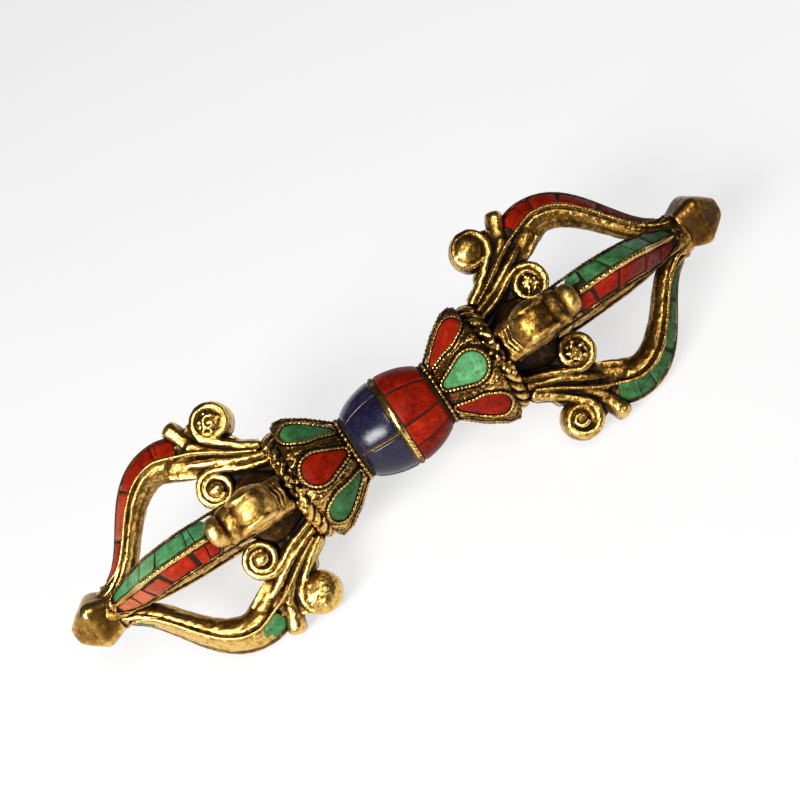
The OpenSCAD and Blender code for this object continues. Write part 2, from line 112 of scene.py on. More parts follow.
def side_line(points, b):
    """A line in the plane of the axis, moved to the side by b."""
    return np.stack([points[:, 0], np.full(len(points), b), points[:, 1]], axis=1)


def line_length(p):
    return np.linalg.norm(np.diff(p, axis=0), axis=1).sum()


def even_line(p, count):
    """The same line with evenly spaced points."""
    run = np.concatenate([[0], np.cumsum(np.linalg.norm(np.diff(p, axis=0), axis=1))])
    at = np.linspace(0, run[-1], count)
    return np.stack([np.interp(at, run, p[:, k]) for k in range(p.shape[1])], axis=1)


def smooth_line(points, count):
    """Even points on a smooth curve through the given points."""
    p = np.asarray(points, float)
    ends = np.vstack([2 * p[0] - p[1], p, 2 * p[-1] - p[-2]])
    t = np.linspace(0, 1, 16, endpoint=False)[:, None]
    out = []
    for i in range(len(p) - 1):
        a, b, c, d = ends[i:i + 4]
        out.append(0.5 * (2 * b + (c - a) * t + (2 * a - 5 * b + 4 * c - d) * t ** 2
                          + (3 * b - a - 3 * c + d) * t ** 3))
    return even_line(np.vstack(out + [p[-1:]]), count)


def spiral(centre, d, start, turn, total, pitch, steps=60):
    """A flat spiral of width d that winds inward over a total of so many degrees."""
    swing = np.linspace(0, total, steps)
    r = (d - STRAND_T) / 2 - pitch * swing / 360
    return centre + r[:, None] * circle(np.radians(start + turn * swing))


# The bow of a prong: 0 to 1 over its shoulder, 1 to 2 from the crown to the finial.

def bezier(p, t):
    t = np.asarray(t, float)[..., None]
    u = 1 - t
    return u ** 3 * p[0] + 3 * u ** 2 * t * p[1] + 3 * u * t * t * p[2] + t ** 3 * p[3]


SHOULDER = [CROWN - (6, 1.8), CROWN - (4, 0.6), CROWN - (2, 0), CROWN]
BOW = [CROWN, CROWN + (14.5, 0), BOW_END + (-10, 0.3), BOW_END]
TANGENT_STEP = 0.002


def ridge(s):
    s = np.atleast_1d(np.asarray(s, float))
    shoulder, bow = bezier(SHOULDER, np.minimum(s, 1)), bezier(BOW, np.maximum(s - 1, 0))
    return np.where((s < 1)[:, None], shoulder, bow)


def on_bow(s, b, n):
    """Points of the bow: s along the ridge, b to the side, n outward from the ridge."""
    s = np.atleast_1d(np.asarray(s, float))
    b, n = np.broadcast_to(b, s.shape), np.broadcast_to(n, s.shape)
    t = unit(ridge(np.minimum(s + TANGENT_STEP, 2)) - ridge(np.maximum(s - TANGENT_STEP, 0)))
    p = ridge(s)
    return np.stack([p[:, 0] - n * t[:, 1], b, p[:, 1] + n * t[:, 0]], axis=1)


def eave_b(s):
    """Half of the width at the eaves."""
    return np.interp(s, [0, 0.5, 1, 1.5, 2], [3.9, 4.0, 4.0, 3.75, 2.9])


def rise(s):
    """Height of the ridge over the eaves."""
    return np.interp(s, [0, 0.5, 0.95, 1.3, 1.6, 2], [3.8, 3.8, 3.6, 2.7, 2.0, 1.1])


def depth(s):
    """Depth of the bow below its ridge."""
    return np.interp(s, [0, 0.35, 0.7, 1, 1.5, 2], [5.5, 8.0, 9.0, 8.8, 5.9, 3.9])


def roof_n(s, b):
    """Height of the roof face at b, from the ridge."""
    return -rise(s) * (b - RIDGE_HALF) / (eave_b(s) - RIDGE_HALF)


# Meshes as (points, faces), in millimetres.

def joined(parts):
    """Several meshes as one."""
    points, faces, base = [], [], 0
    for p, f in parts:
        points.append(p)
        faces.extend([[i + base for i in face] for face in f])
        base += len(p)
    return np.vstack(points), faces


def oriented(mesh):
    """The same mesh with its faces turned outward."""
    p, f = mesh
    volume = 0.0
    for face in f:
        a = p[face[0]]
        for i in range(1, len(face) - 1):
            volume += np.dot(a, np.cross(p[face[i]], p[face[i + 1]]))
    return (p, f) if volume > 0 else (p, [face[::-1] for face in f])


def quads(rows, cols, closed=False):
    """Faces between neighbouring rows of points; closed joins the last column to the first."""
    return [[i * cols + j, i * cols + (j + 1) % cols, (i + 1) * cols + (j + 1) % cols, (i + 1) * cols + j]
            for i in range(rows - 1) for j in range(cols if closed else cols - 1)]


def skin(rings):
    """A closed solid over rings with the same number of points."""
    m, last = len(rings[0]), len(rings) - 1
    caps = [list(range(m - 1, -1, -1)), [last * m + j for j in range(m)]]
    return oriented((np.vstack(rings), quads(len(rings), m, True) + caps))


def plate(top, base):
    """A closed solid between two grids of points, one over the other."""
    rows, cols = top.shape[:2]
    under, last = rows * cols, (rows - 1) * cols
    faces = []
    for a, b, c, d in quads(rows, cols):
        faces += [[a, b, c, d], [under + d, under + c, under + b, under + a]]
    rim = (list(range(cols)) + [i * cols + cols - 1 for i in range(1, rows)]
           + [last + j for j in range(cols - 2, -1, -1)] + [i * cols for i in range(rows - 2, 0, -1)])
    for a, b in zip(rim, rim[1:] + rim[:1]):
        faces.append([b, a, under + a, under + b])
    return oriented((np.vstack([top.reshape(-1, 3), base.reshape(-1, 3)]), faces))


ROD_END = 0.55
NEARLY_ALONG = 0.2


def square_to(t, axis):
    """The part of an axis that is square to each direction t."""
    return np.array(axis) - (t @ np.array(axis))[:, None] * t


def spokes(t, up, sides):
    """Directions round each point of a line with the tangents t."""
    up = unit(up)
    a = full_turn(sides)[None, :, None]
    return np.cos(a) * up[:, None] + np.sin(a) * np.cross(t, up)[:, None]


def tube(path, radius, sides):
    """A round rod along a path, with rounded ends."""
    path = np.asarray(path, float)
    radius = np.broadcast_to(radius, len(path)).astype(float)
    t = unit(np.gradient(path, axis=0))
    up = square_to(t, (0.0, 1.0, 0.0))
    up[np.linalg.norm(up, axis=1) < NEARLY_ALONG] = (0, 0, 1)
    ring = spokes(t, up, sides)
    first = path[0] + ROD_END * radius[0] * (unit(path[0] - path[1]) + ring[0])
    last = path[-1] + ROD_END * radius[-1] * (unit(path[-1] - path[-2]) + ring[-1])
    return skin([first, *(path[:, None] + radius[:, None, None] * ring), last])


def closed_tube(path, radius, sides):
    """A round rod along a closed path."""
    t = unit(np.roll(path, -1, 0) - np.roll(path, 1, 0))
    rings = path[:, None] + radius[:, None, None] * spokes(t, square_to(t, (1.0, 0.0, 0.0)), sides)
    count = len(path) * sides
    faces = [[i % count for i in face] for face in quads(len(path) + 1, sides, True)]
    return oriented((rings.reshape(-1, 3), faces))


def strand(line, side, rod, sides=12):
    """A rod along a line on one side of the plane of the axis; rod is its distance and two radii."""
    b, first, last = rod
    return tube(side_line(line, b * side), np.linspace(first, last, len(line)), sides)


def lathe_b(centre, half, sides=40):
    """A solid turned about a line across the prong, from half of its (b, radius) profile."""
    profile = half + [(-b, r) for b, r in half[-2::-1]]
    return skin([side_line(centre + r * circle(full_turn(sides)), b) for b, r in profile])


def lathe_x(profile, sides=96):
    """A solid turned about the axis; the profile is (x, radius)."""
    return skin([ring_x(x, r, full_turn(sides)) for x, r in profile])


def slab(points, half):
    """A plate in the plane of the axis."""
    return skin([side_line(np.asarray(points, float), b) for b in (-half, half)])


def unit_ball(rings, sides):
    u, v = np.linspace(0, math.pi, rings), full_turn(sides)
    points = [[math.sin(a) * math.cos(b), math.sin(a) * math.sin(b), math.cos(a)] for a in u for b in v]
    return np.array(points), [[a, d, c, b] for a, b, c, d in quads(rings, sides, True)]


BEAD, DOME = unit_ball(7, 10), unit_ball(19, 36)
LARGEST_BEAD = 1.2


def balls(centres, radii):
    """Beads and domes; radii has one number or three for each."""
    parts = []
    for c, r in zip(centres, radii):
        p, f = DOME if np.max(r) > LARGEST_BEAD else BEAD
        parts.append((p * r + c, f))
    return joined(parts)


# Blender objects.

def add_object(name, data):
    ob = bpy.data.objects.new(name, data)
    bpy.context.scene.collection.objects.link(ob)
    return ob


def make_mesh(name, mesh):
    p, f = mesh
    me = bpy.data.meshes.new(name)
    me.from_pydata((np.asarray(p) * MM).tolist(), [], f)
    me.validate()
    me.polygons.foreach_set("use_smooth", [True] * len(me.polygons))
    me.update()
    return me


def mesh_arrays(me):
    p = np.zeros(len(me.vertices) * 3)
    me.vertices.foreach_get("co", p)
    e = np.zeros(len(me.edges) * 2, np.int64)
    me.edges.foreach_get("vertices", e)
    return p.reshape(-1, 3), e.reshape(-1, 2)


def move_points(me, p):
    me.vertices.foreach_set("co", p.ravel())
    me.update()


def vertex_normals(me):
    n = np.zeros(len(me.vertices) * 3)
    me.vertex_normals.foreach_get("vector", n)
    return n.reshape(-1, 3)


def relaxed(p, edges, rounds):
    """Points moved towards the middle of their neighbours."""
    n = len(p)
    count = np.bincount(edges.ravel(), minlength=n)[:, None].clip(1)
    for _ in range(rounds):
        total = np.stack([np.bincount(edges[:, 0], p[edges[:, 1], k], n)
                          + np.bincount(edges[:, 1], p[edges[:, 0], k], n) for k in range(3)], axis=1)
        p = p + 0.5 * (total / count - p)
    return p


# For fine and for wide forms: how often the rounds are repeated, and the height that counts in full.
RELIEF_SCALES = [(1, 0.09), (6, 0.45)]
RELIEF_SHARE = 0.3


def set_relief(me, rounds=14):
    """Stores how far each point stands out of (1) or lies under (0) the smoothed surface."""
    p, e = mesh_arrays(me)
    p = p / MM
    n = vertex_normals(me)
    value = np.full(len(p), 0.5)
    for times, full in RELIEF_SCALES:
        value += RELIEF_SHARE * ((p - relaxed(p, e, rounds * times)) * n).sum(1) / full
    attribute = me.attributes.new("relief", "FLOAT", "POINT")
    attribute.data.foreach_set("value", value.clip(0, 1).astype(np.float32))


def set_tone(me, parts, seed, paler=0.0):
    """Gives each stone of a mesh a tone of its own; other points keep the middle."""
    rng = np.random.default_rng(seed)
    tone = np.zeros(len(me.vertices), np.float32)
    first = 0
    for (p, _), shift in zip(parts, np.broadcast_to(paler, len(parts))):
        tone[first:first + len(p)] = rng.uniform(-1, 1) + shift
        first += len(p)
    me.attributes.new("tone", "FLOAT", "POINT").data.foreach_set("value", tone)


def on_flats(p):
    """Keeps the points of a prong inside the two planes on which the part can lie."""
    for side in SIDES:
        over = np.maximum((p[:, 2] + side * p[:, 1]) / math.sqrt(2) - REST_R, 0) / math.sqrt(2)
        p[:, 2] -= over
        p[:, 1] -= side * over
    return p


def cast(name, parts, voxel, soften, lumps, rests=False):
    """One cast solid from overlapping parts: joined, softened and given hand-made lumps."""
    raw = make_mesh(name + "_raw", joined(parts))
    raw.transform(Matrix.Scale(1 / MM, 4))
    ob = add_object(name + "_raw", raw)
    mod = ob.modifiers.new("join", "REMESH")
    mod.mode, mod.voxel_size, mod.use_smooth_shade = "VOXEL", voxel, True
    done = bpy.data.meshes.new_from_object(ob.evaluated_get(bpy.context.evaluated_depsgraph_get()))
    done.name = name
    bpy.data.objects.remove(ob)
    bpy.data.meshes.remove(raw)
    p, e = mesh_arrays(done)
    p = relaxed(p, e, soften)
    move_points(done, p)
    n = vertex_normals(done)
    for size, height, seed in lumps:
        p = p + n * (height * soft_noise(p, size, seed))[:, None]
    move_points(done, (on_flats(p) if rests else p) * MM)
    set_relief(done)
    return done


LEAN = 45


def leaned(me):
    """Turns a prong's mesh to the first place, from where quarter turns carry it."""
    me.transform(Matrix.Rotation(math.radians(-LEAN), 4, "X"))
    return me


def for_end(me, end):
    """A mesh made for the right end, turned into its mirror image if it goes to the left."""
    if not end:
        me.transform(Matrix.Scale(-1, 4, (1, 0, 0)))
        me.flip_normals()
    return me


def both_ends(me):
    """The meshes of the left and the right end, from the one of the right end."""
    left = me.copy()
    left.name = me.name + "_left"
    return [for_end(left, 0), me]


def dress(me, *materials, index=None):
    """Gives a mesh its materials; index says which of them each face has."""
    for material in materials:
        me.materials.append(material)
    if index is not None:
        me.polygons.foreach_set("material_index", index)
    return me


def two_part_mesh(name, first, second, *materials):
    """A mesh of two parts, each with its own material."""
    me = make_mesh(name, joined([first, second]))
    return dress(me, *materials, index=[0] * len(first[1]) + [1] * len(second[1]))


def piece(name, me, node, turn=0):
    """Adds a piece to the part, in the place of the given node."""
    ob = add_object(name, me)
    ob.matrix_world = Matrix.Rotation(math.radians(turn), 4, "X")
    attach(ob, "root")
    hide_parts(node)


# Materials.

class Nodes:
    """A short way to write a material's nodes."""

    def __init__(self, name):
        self.material = bpy.data.materials.new(name)
        self.material.use_nodes = True
        self.tree = self.material.node_tree
        self.shader = self.tree.nodes["Principled BSDF"]
        self.position = self.add("ShaderNodeNewGeometry").outputs["Position"]

    def link(self, value, socket):
        if isinstance(value, bpy.types.NodeSocket):
            self.tree.links.new(value, socket)
        else:
            socket.default_value = value

    def add(self, kind, inputs=None, **settings):
        """A new node, with a value or a link for each of the given inputs."""
        node = self.tree.nodes.new(kind)
        for key, value in settings.items():
            setattr(node, key, value)
        for key, value in (inputs or {}).items():
            self.link(value, node.inputs[key])
        return node

    def along_x(self):
        return self.add("ShaderNodeSeparateXYZ", {0: self.position}).outputs["X"]

    def noise(self, per_mm, detail, rough=0.55, stretch=None, distort=0.0):
        at = self.position
        if stretch:
            at = self.add("ShaderNodeMapping", {"Vector": at, "Scale": stretch}).outputs["Vector"]
        inputs = {"Vector": at, "Scale": per_mm / MM, "Detail": detail, "Roughness": rough,
                  "Distortion": distort}
        return self.add("ShaderNodeTexNoise", inputs).outputs["Fac"]

    def cells(self, per_mm):
        inputs = {"Vector": self.position, "Scale": per_mm / MM}
        return self.add("ShaderNodeTexVoronoi", inputs).outputs["Distance"]

    def math(self, operation, a, b, clamp=False):
        return self.add("ShaderNodeMath", {0: a, 1: b}, operation=operation, use_clamp=clamp).outputs[0]

    def weighted(self, *terms):
        """The sum of values, each less its middle and times its share."""
        total = 0.0
        for value, middle, share in terms:
            if middle:
                value = self.math("SUBTRACT", value, middle)
            total = self.math("ADD", total, self.math("MULTIPLY", value, share))
        return total

    def fit(self, value, low, high, to_low=0.0, to_high=1.0):
        """A value's range fitted to another one, with soft ends."""
        inputs = dict(enumerate((value, low, high, to_low, to_high)))
        return self.add("ShaderNodeMapRange", inputs, interpolation_type="SMOOTHSTEP").outputs["Result"]

    def open_air(self, distance):
        """1 where nothing is near, less in recesses of the given size."""
        return self.add("ShaderNodeAmbientOcclusion", {"Distance": distance * MM}, samples=6).outputs["AO"]

    def attribute(self, name):
        return self.add("ShaderNodeAttribute", attribute_name=name).outputs["Fac"]

    def ramp(self, value, stops):
        node = self.add("ShaderNodeValToRGB", {"Fac": value})
        elements = node.color_ramp.elements
        while len(elements) < len(stops):
            elements.new(0.5)
        for element, (at, colour) in zip(elements, stops):
            element.position = at
            element.color = (*colour, 1)
        return node.outputs["Color"]

    def mix(self, factor, a, b):
        a, b = ((*v, 1) if isinstance(v, tuple) else v for v in (a, b))
        return self.add("ShaderNodeMix", {"Factor": factor, 6: a, 7: b}, data_type="RGBA").outputs[2]

    def bump(self, height, distance, strength=1.0):
        inputs = {"Strength": strength, "Distance": distance * MM, "Height": height}
        return self.add("ShaderNodeBump", inputs).outputs["Normal"]

    def finish(self, **sockets):
        for name, value in sockets.items():
            self.link(value, self.shader.inputs[name.replace("_", " ")])
        return self.material


# Colours, and where along the axis, in metres, the painted light on the brass, the darkening of the stones
# towards the right tip and the dust change.
GOLD, MID_BRASS = (0.84, 0.55, 0.16), (0.44, 0.224, 0.037)
BROWN, BLACK = (0.095, 0.041, 0.0075), (0.006, 0.004, 0.002)
BRASS_STOPS = [(0.0, GOLD), (0.25, MID_BRASS), (0.52, BROWN), (0.9, BLACK)]
DUST = (0.6, 0.4, 0.17)
PAINTED_FALLOFF_REACH, RIGHT_TIP_REACH, DUST_REACH = (-0.06, 0.07), (0.054, 0.071), (-0.05, -0.066)
# Darkness of the brass at the left and right ends: tarnish, with painted light that lightens the left end.
DARK_LEFT, DARK_RIGHT = 0.15, 0.39
MOST_TIP_DARKENING, MOST_DUST = 0.26, 0.5


def brass(name, tarnish=0.0, gloss=0.0, relief=1.2, mottle=1.0, bump=0.11):
    """Cast brass: bright where hands rub it, dark in the recesses, and painted lighter towards the left end
    as if a lamp stood nearer there.
    """
    n = Nodes(name)
    lumps, fine = n.noise(0.9, 4, 0.6), n.noise(3.6, 4, 0.65)
    terms = [(n.open_air(3.0), 1.0, -0.95), (n.open_air(0.7), 1.0, -0.75), (lumps, 0.5, 1.1 * mottle),
             (n.noise(0.16, 2), 0.5, 0.7 * mottle), (fine, 0.5, 0.9 * mottle)]
    if relief:
        terms.append((n.attribute("relief"), 0.5, -relief))
    # Tarnish, with painted light that grows towards the left end along the axis.
    tarnish_and_painted_falloff = n.fit(n.along_x(), *PAINTED_FALLOFF_REACH, tarnish + DARK_LEFT, tarnish + DARK_RIGHT)
    dark = n.math("ADD", n.weighted(*terms), tarnish_and_painted_falloff, clamp=True)
    pits = n.fit(n.cells(1.6), 0.0, 0.28)
    height = n.weighted((lumps, 0, 0.6), (fine, 0, 0.3), (pits, 0, 0.15))
    rough = n.fit(n.weighted((dark, 0, 1.0), (fine, 0, 0.2)), 0.0, 1.0, 0.19 - gloss, 0.5)
    return n.finish(Base_Color=n.ramp(dark, BRASS_STOPS), Metallic=n.fit(dark, 0.45, 1.0, 1.0, 0.35),
                    Roughness=rough, Specular_IOR_Level=0.15, Normal=n.bump(height, bump))


STONE_STOPS = (0.3, 0.45, 0.58, 0.75)


def stone(name, shades, streak, stain, stain_at=(0.54, 0.72), rough=(0.3, 0.55), shine=0.09):
    """Polished stone with fibres, stains and scratches; darker towards the right tip, dusty at the left."""
    n = Nodes(name)
    body, patches = n.noise(0.45, 4, 0.6, distort=0.6), n.noise(1.3, 5, 0.65, distort=0.4)
    fibre, scratch = n.noise(3.2, 4, 0.7, streak), n.noise(7.0, 2, 0.5, streak)
    tone, x = n.attribute("tone"), n.along_x()
    shade = n.weighted((body, 0, 0.6), (fibre, 0, 0.4), (tone, 0, 0.06))
    colour = n.ramp(shade, list(zip(STONE_STOPS, shades)))
    # Random stains, and darkening towards the right tip.
    spots = n.fit(n.math("ADD", patches, n.fit(x, *RIGHT_TIP_REACH, 0.0, MOST_TIP_DARKENING)), *stain_at)
    edge = n.fit(n.open_air(0.6), 0.97, 0.5)
    for mask, share in ((spots, 0.75), (edge, 0.8)):
        colour = n.mix(n.math("MULTIPLY", mask, share), colour, stain)
    dust = n.math("MULTIPLY", patches, n.fit(x, *DUST_REACH, 0.0, MOST_DUST))
    colour = n.mix(n.math("MULTIPLY", dust, n.fit(tone, 1.0, 2.0)), colour, DUST)
    height = n.weighted((scratch, 0, 0.4), (body, 0, 0.8))
    return n.finish(Base_Color=colour, Roughness=n.fit(n.math("ADD", spots, fibre), 0.3, 1.3, *rough),
                    Specular_IOR_Level=shine, Normal=n.bump(height, 0.06, 0.6))


def cement():
    n = Nodes("cement")
    lumps = n.noise(2.4, 4, 0.65)
    colour = n.ramp(lumps, [(0.35, (0.006, 0.004, 0.003)), (0.7, (0.035, 0.024, 0.012))])
    return n.finish(Base_Color=colour, Roughness=0.75, Specular_IOR_Level=0.15,
                    Normal=n.bump(lumps, 0.2, 0.9))


MAT_BRASS = brass("antique_brass")
MAT_CUP = brass("cup_brass", 0.03, relief=1.5)
MAT_BEAD = brass("bead_brass", -0.16, 0.02, relief=0)
MAT_RUBBED = brass("rubbed_brass", -0.36, 0.04, relief=0, mottle=0.45, bump=0.08)
MAT_EDGE = brass("edge_brass", 0.1, relief=0)
MAT_TIP = brass("tip_brass", 0.2, relief=0.9, mottle=0.6, bump=0.06)
# Brass darkened as painted shade, for the foot of the centre shaft among the prongs and for the pin.
MAT_PAINTED_SHADE = brass("painted_shade_brass", 0.5, relief=0)
MAT_FRONT = brass("front_brass", 0.09, -0.13, relief=1.0, mottle=0.9, bump=0.08)

CORAL = [(0.08, 0.004, 0.0015), (0.21, 0.008, 0.002), (0.33, 0.014, 0.003), (0.54, 0.034, 0.009)]
TURQUOISE = [(0.02, 0.07, 0.02), (0.05, 0.18, 0.057), (0.075, 0.27, 0.098), (0.15, 0.44, 0.2)]
LAPIS = [(0.005, 0.004, 0.012), (0.0095, 0.008, 0.028), (0.016, 0.0145, 0.04), (0.08, 0.07, 0.085)]
MAT_CORAL = stone("coral", CORAL, (0.2, 1, 1), (0.035, 0.008, 0.003), shine=0.06)
MAT_TURQUOISE = stone("turquoise", TURQUOISE, (1, 1, 1), (0.03, 0.035, 0.01), (0.5, 0.72))
MAT_LAPIS = stone("lapis", LAPIS, (0.12, 1, 1), (0.02, 0.014, 0.012), (0.52, 0.75), (0.16, 0.42), 0.38)
MAT_CEMENT = cement()


# Side prong: foot, stem strands, two scrolls, nub and bow, cast in one.

BOW_STOPS = np.concatenate([[0.0], np.linspace(BED_START, 1, 12), np.linspace(1.02, BED_END, 50),
                            np.linspace(BED_END + 0.03, 2, 6)])
BODY_ANGLES = np.radians([8, 22, 38, 54, 70, 82])
ROUND_ANGLES = np.radians([10, 26, 42, 58, 74, 90])
BED_MARGIN = 0.02


def bow_section(s):
    """The outline across a bow: roof with a bed for stones, or a round back, over a round body."""
    w, h, d = eave_b(s), rise(s), depth(s)
    low, inner = -h - EAVE_H, w - LIP_W
    if BED_START - BED_MARGIN < s < BED_END + BED_MARGIN:
        bed = float(roof_n(s, inner))
        half = [(RIDGE_HALF, 0), (RIDGE_HALF, -TILE_T), (inner, bed - TILE_T), (inner, bed - 0.1),
                (w, -h - 0.12), (w, low)]
    else:
        half = [(w * math.sin(a), low * (1 - math.cos(a))) for a in ROUND_ANGLES]
    body, body_n = (w - 0.15) * np.interp(s, [0, 0.6], [0.72, 1]), low - 0.25
    half.append((w - 0.4, body_n + 0.2))
    half += [(body * math.cos(a), body_n - (d + body_n) * math.sin(a)) for a in BODY_ANGLES]
    return np.array(half + [(0, -d)] + [(-b, n) for b, n in half[::-1]])


def bow_body():
    rings = []
    for s in BOW_STOPS:
        section = bow_section(s)
        rings.append(on_bow(np.full(len(section), s), section[:, 0], section[:, 1]))
    return skin(rings)


# Outlines and lines of a stem in the plane of the axis, as (x, distance from the axis).
WEB = [(FOOT_X, 3.6), (30.4, 5.6), (32.65, 8.1), (38.6, 11.8), (42.9, 13.5), (46.8, 15.9),
       tuple(ridge(0.2)[0] + (2, -2)), (36.9, 20.4), (34.4, 17.6), (30.6, 16.6), (29.2, 13.4), (FOOT_X, 12.2)]
SADDLE = [(34.2, 18.5), (35.2, 23.6), (36.6, 23.9), (38.4, 23.3), (40.3, 21.0), (39.0, 17.0)]
WEDGE = [(31.6, 8.9), (36.4, 11.8), (39.4, 8.7), (36.6, 5.6), (35.2, 6.6)]
FOOT_PLATE = [(26.9, 11.6), (30.6, 13.4), (30.2, 14.6), (26.7, 13.0)]
WEB_HALF, WEDGE_HALF, FOOT_HALF = 2.6, 1.9, 2.7
ROOT_LINE = smooth_line([(33.5, 11.6), (38.0, 13.9), (42.5, 16.2), (47.0, 18.7), (51.5, 20.4)], 24)
ROOT_R = np.interp(np.linspace(0, 1, 24), [0, 0.25, 0.5, 0.75, 1], [1.2, 2.2, 2.9, 3.2, 2.7])
SCROLL_START, CURL_START = -61, 112
SCROLL_LINE = np.vstack([smooth_line([(26.9, 11.6), (29.6, 13.3), (33.2, 16.2)], 12)[:-1],
                         spiral(SCROLL_C, 9.4, SCROLL_START, 1, 470, 1.5)])
CURL_LINE = np.vstack([smooth_line([(26.9, 7.8), (32.0, 9.5), (36.0, 11.8)], 14)[:-1],
                       spiral(CURL_C, 9.3, CURL_START, -1, 600, 1.3, 80)])
MIDDLE_LINE = smooth_line([(27.0, 9.5), (33.0, 11.7), (38.4, 14.6), (43.0, 17.0), (47.5, 18.3)], 36)
RISING_LINE = smooth_line([(28.0, 10.6), (33.0, 13.6), (37.0, 16.8), (39.6, 19.6)], 24)
EAVE_FOOT = smooth_line([(28.0, 11.0), (32.25, 13.3), (36.65, 16.2), (39.8, 18.0)], 16)

# Rods on the face of a stem: distance to the side, and radius at the first and at the last point.
SCROLL_ROD, CURL_ROD, RISING_ROD = (2.8, 1.1, 0.9), (2.95, 1.0, 0.62), (2.75, 0.7, 1.2)
PLAIN_RING, RAISED_RING = (1.5, 0.6, 0.6), (3.05, 0.8, 0.7)
HOOK_ROD, FLOWER_ROD = (3.75, 0.6, 0.35), (3.7, 0.6, 0.42)

# Profiles of the scrolls across the prong, as (b, radius) up to the middle.
SWELL_B = np.linspace(-4.75, 0, 12)
SCROLL_SWELL = list(zip(SWELL_B, 4.72 * np.sqrt(1 - (np.abs(SWELL_B) / 4.8) ** 2.4)))
SCROLL_DRUM = [(-3.3, 0.4), (-3.35, 2.4), (-3.2, 3.4), (-2.6, 4.1), (-1.4, 4.5), (0, 4.6)]
CURL_DRUM = [(-2.9, 0.4), (-3.0, 2.0), (-2.9, 3.2), (-2.4, 3.9), (-1.3, 4.25), (0, 4.3)]
SADDLE_EGG, SADDLE_EGG_R = (37.7, 0, 21.7), (3.9, 3.9, 2.8)

# The wires along the eaves close in an arch over the end of the inlay.
ARCH_START, ARCH_LENGTH, WIRE_END = 1.62, 0.33, 1.945
EAVE_STRAND_POINTS = 46


def edge_wire(side):
    """Line of the wire along one eave, from the foot of the stem to the arch."""
    s = np.concatenate([[0.25, 0.6], np.linspace(0.9, ARCH_START, 28), np.linspace(1.64, WIRE_END, 24)])
    arch = np.sqrt(1 - np.clip((s - ARCH_START) / ARCH_LENGTH, 0, 1) ** 2)
    b = np.maximum((eave_b(s) + 0.2) * arch, RIDGE_HALF)
    low, high = -rise(s) - EAVE_H / 2, roof_n(s, b) + 0.1
    upper = on_bow(s, b * side, low + (high - low) * np.clip((1 - arch) * 4, 0, 1))
    return even_line(np.vstack([side_line(EAVE_FOOT, 4.15 * side), upper]), 160)


def strands(side):
    """The rods on one face of a stem."""
    t = np.linspace(0, 1, len(MIDDLE_LINE))
    middle = side_line(MIDDLE_LINE, 2.7 * side)
    middle[:, 1] -= side * np.interp(t, [0.5, 1], [0, 1.9])
    eave = edge_wire(side)[:EAVE_STRAND_POINTS]
    eave[:, 1] -= 0.75 * side
    return [strand(SCROLL_LINE, side, SCROLL_ROD), strand(CURL_LINE, side, CURL_ROD),
            tube(middle, np.interp(t, [0, 0.6, 1], [1.05, 1.3, 0.7]), 12), tube(eave, 0.72, 10),
            strand(RISING_LINE, side, RISING_ROD)]


def scroll_button(side, style, rng):
    """The face of the outer scroll: a plain ring, a dome, a hooked disc, a flower or a bumpy dome."""
    x, z = SCROLL_C
    ring = spiral(SCROLL_C, 8.8, SCROLL_START, 1, 360, 1.3 if style == "hook" else 0.5)
    if style == "plain":
        return strand(ring, side, PLAIN_RING, 8)
    if style == "bumps":
        a, r = rng.uniform(0, TURN, 14), rng.uniform(0.5, 2.6, 14)
        bumps = side_line(SCROLL_C + 1.2 * r[:, None] * circle(a), (4.7 - 0.13 * r ** 2) * side)
        dome = balls([(x, 2.1 * side, z)], [(4.6, 2.9, 4.6)])
        return joined([dome, balls(bumps, rng.uniform(0.4, 0.75, 14))])
    parts = [strand(ring, side, RAISED_RING)]
    if style == "dome":
        parts.append(balls([(x - 0.25, 3.0 * side, z + 0.3)], [(3.25, 1.7, 3.25)]))
    elif style == "hook":
        parts.append(balls([(x - 0.5, 3.0 * side, z - 0.2)], [(2.2, 1.1, 2.2)]))
        hook = spiral(SCROLL_C - (0.5, 0.2), 4.6, 40, 1, 300, 1.2, 30)
        parts.append(strand(hook, side, HOOK_ROD, 8))
    else:
        parts.append(balls([(x, 2.75 * side, z)], [(3.3, 1.2, 3.3)]))
        hook = spiral(SCROLL_C + (0.2, -0.2), 4.8, 150, -1, 420, 1.35, 34)
        parts.append(strand(hook, side, FLOWER_ROD, 8))
        petals = side_line(SCROLL_C + 2.1 * circle(rng.uniform(0, TURN, 9)), 3.6 * side)
        parts.append(balls(petals, rng.uniform(0.3, 0.6, 9)))
    return joined(parts)


def curl_face(side, rough, rng):
    """The middle of the inner scroll: a rough flower, or the plain end of the spiral."""
    eye = balls([(CURL_C[0], 3.2 * side, CURL_C[1])], [(1.6, 0.8, 1.6)])
    if not rough:
        return eye
    a, r = rng.uniform(0, TURN, 22), rng.uniform(0.3, 2.2, 22)
    bumps = side_line(CURL_C + r[:, None] * circle(a), 3.6 * side)
    return joined([eye, balls(bumps, rng.uniform(0.35, 0.6, 22))])


NUB_FOOT, NUB_HEAD = np.array([38.5, 17.2]), np.array([41.7, 25.95])
NUB_HALF, NUB_THICK = 3.3, 2.05
NUB_BLUNT = [(0, 1.1), (0.45, 1.0), (0.7, 1.0), (0.86, 1.0), (0.94, 0.93), (0.98, 0.8), (1.0, 0.6)]
NUB_ROUND = [(0, 1.1), (0.45, 1.0), (0.66, 1.0), (0.78, 0.95), (0.87, 0.84), (0.94, 0.66), (0.985, 0.4),
             (1.0, 0.15)]


def squared_off(v, power):
    return np.sign(v) * np.abs(v) ** power


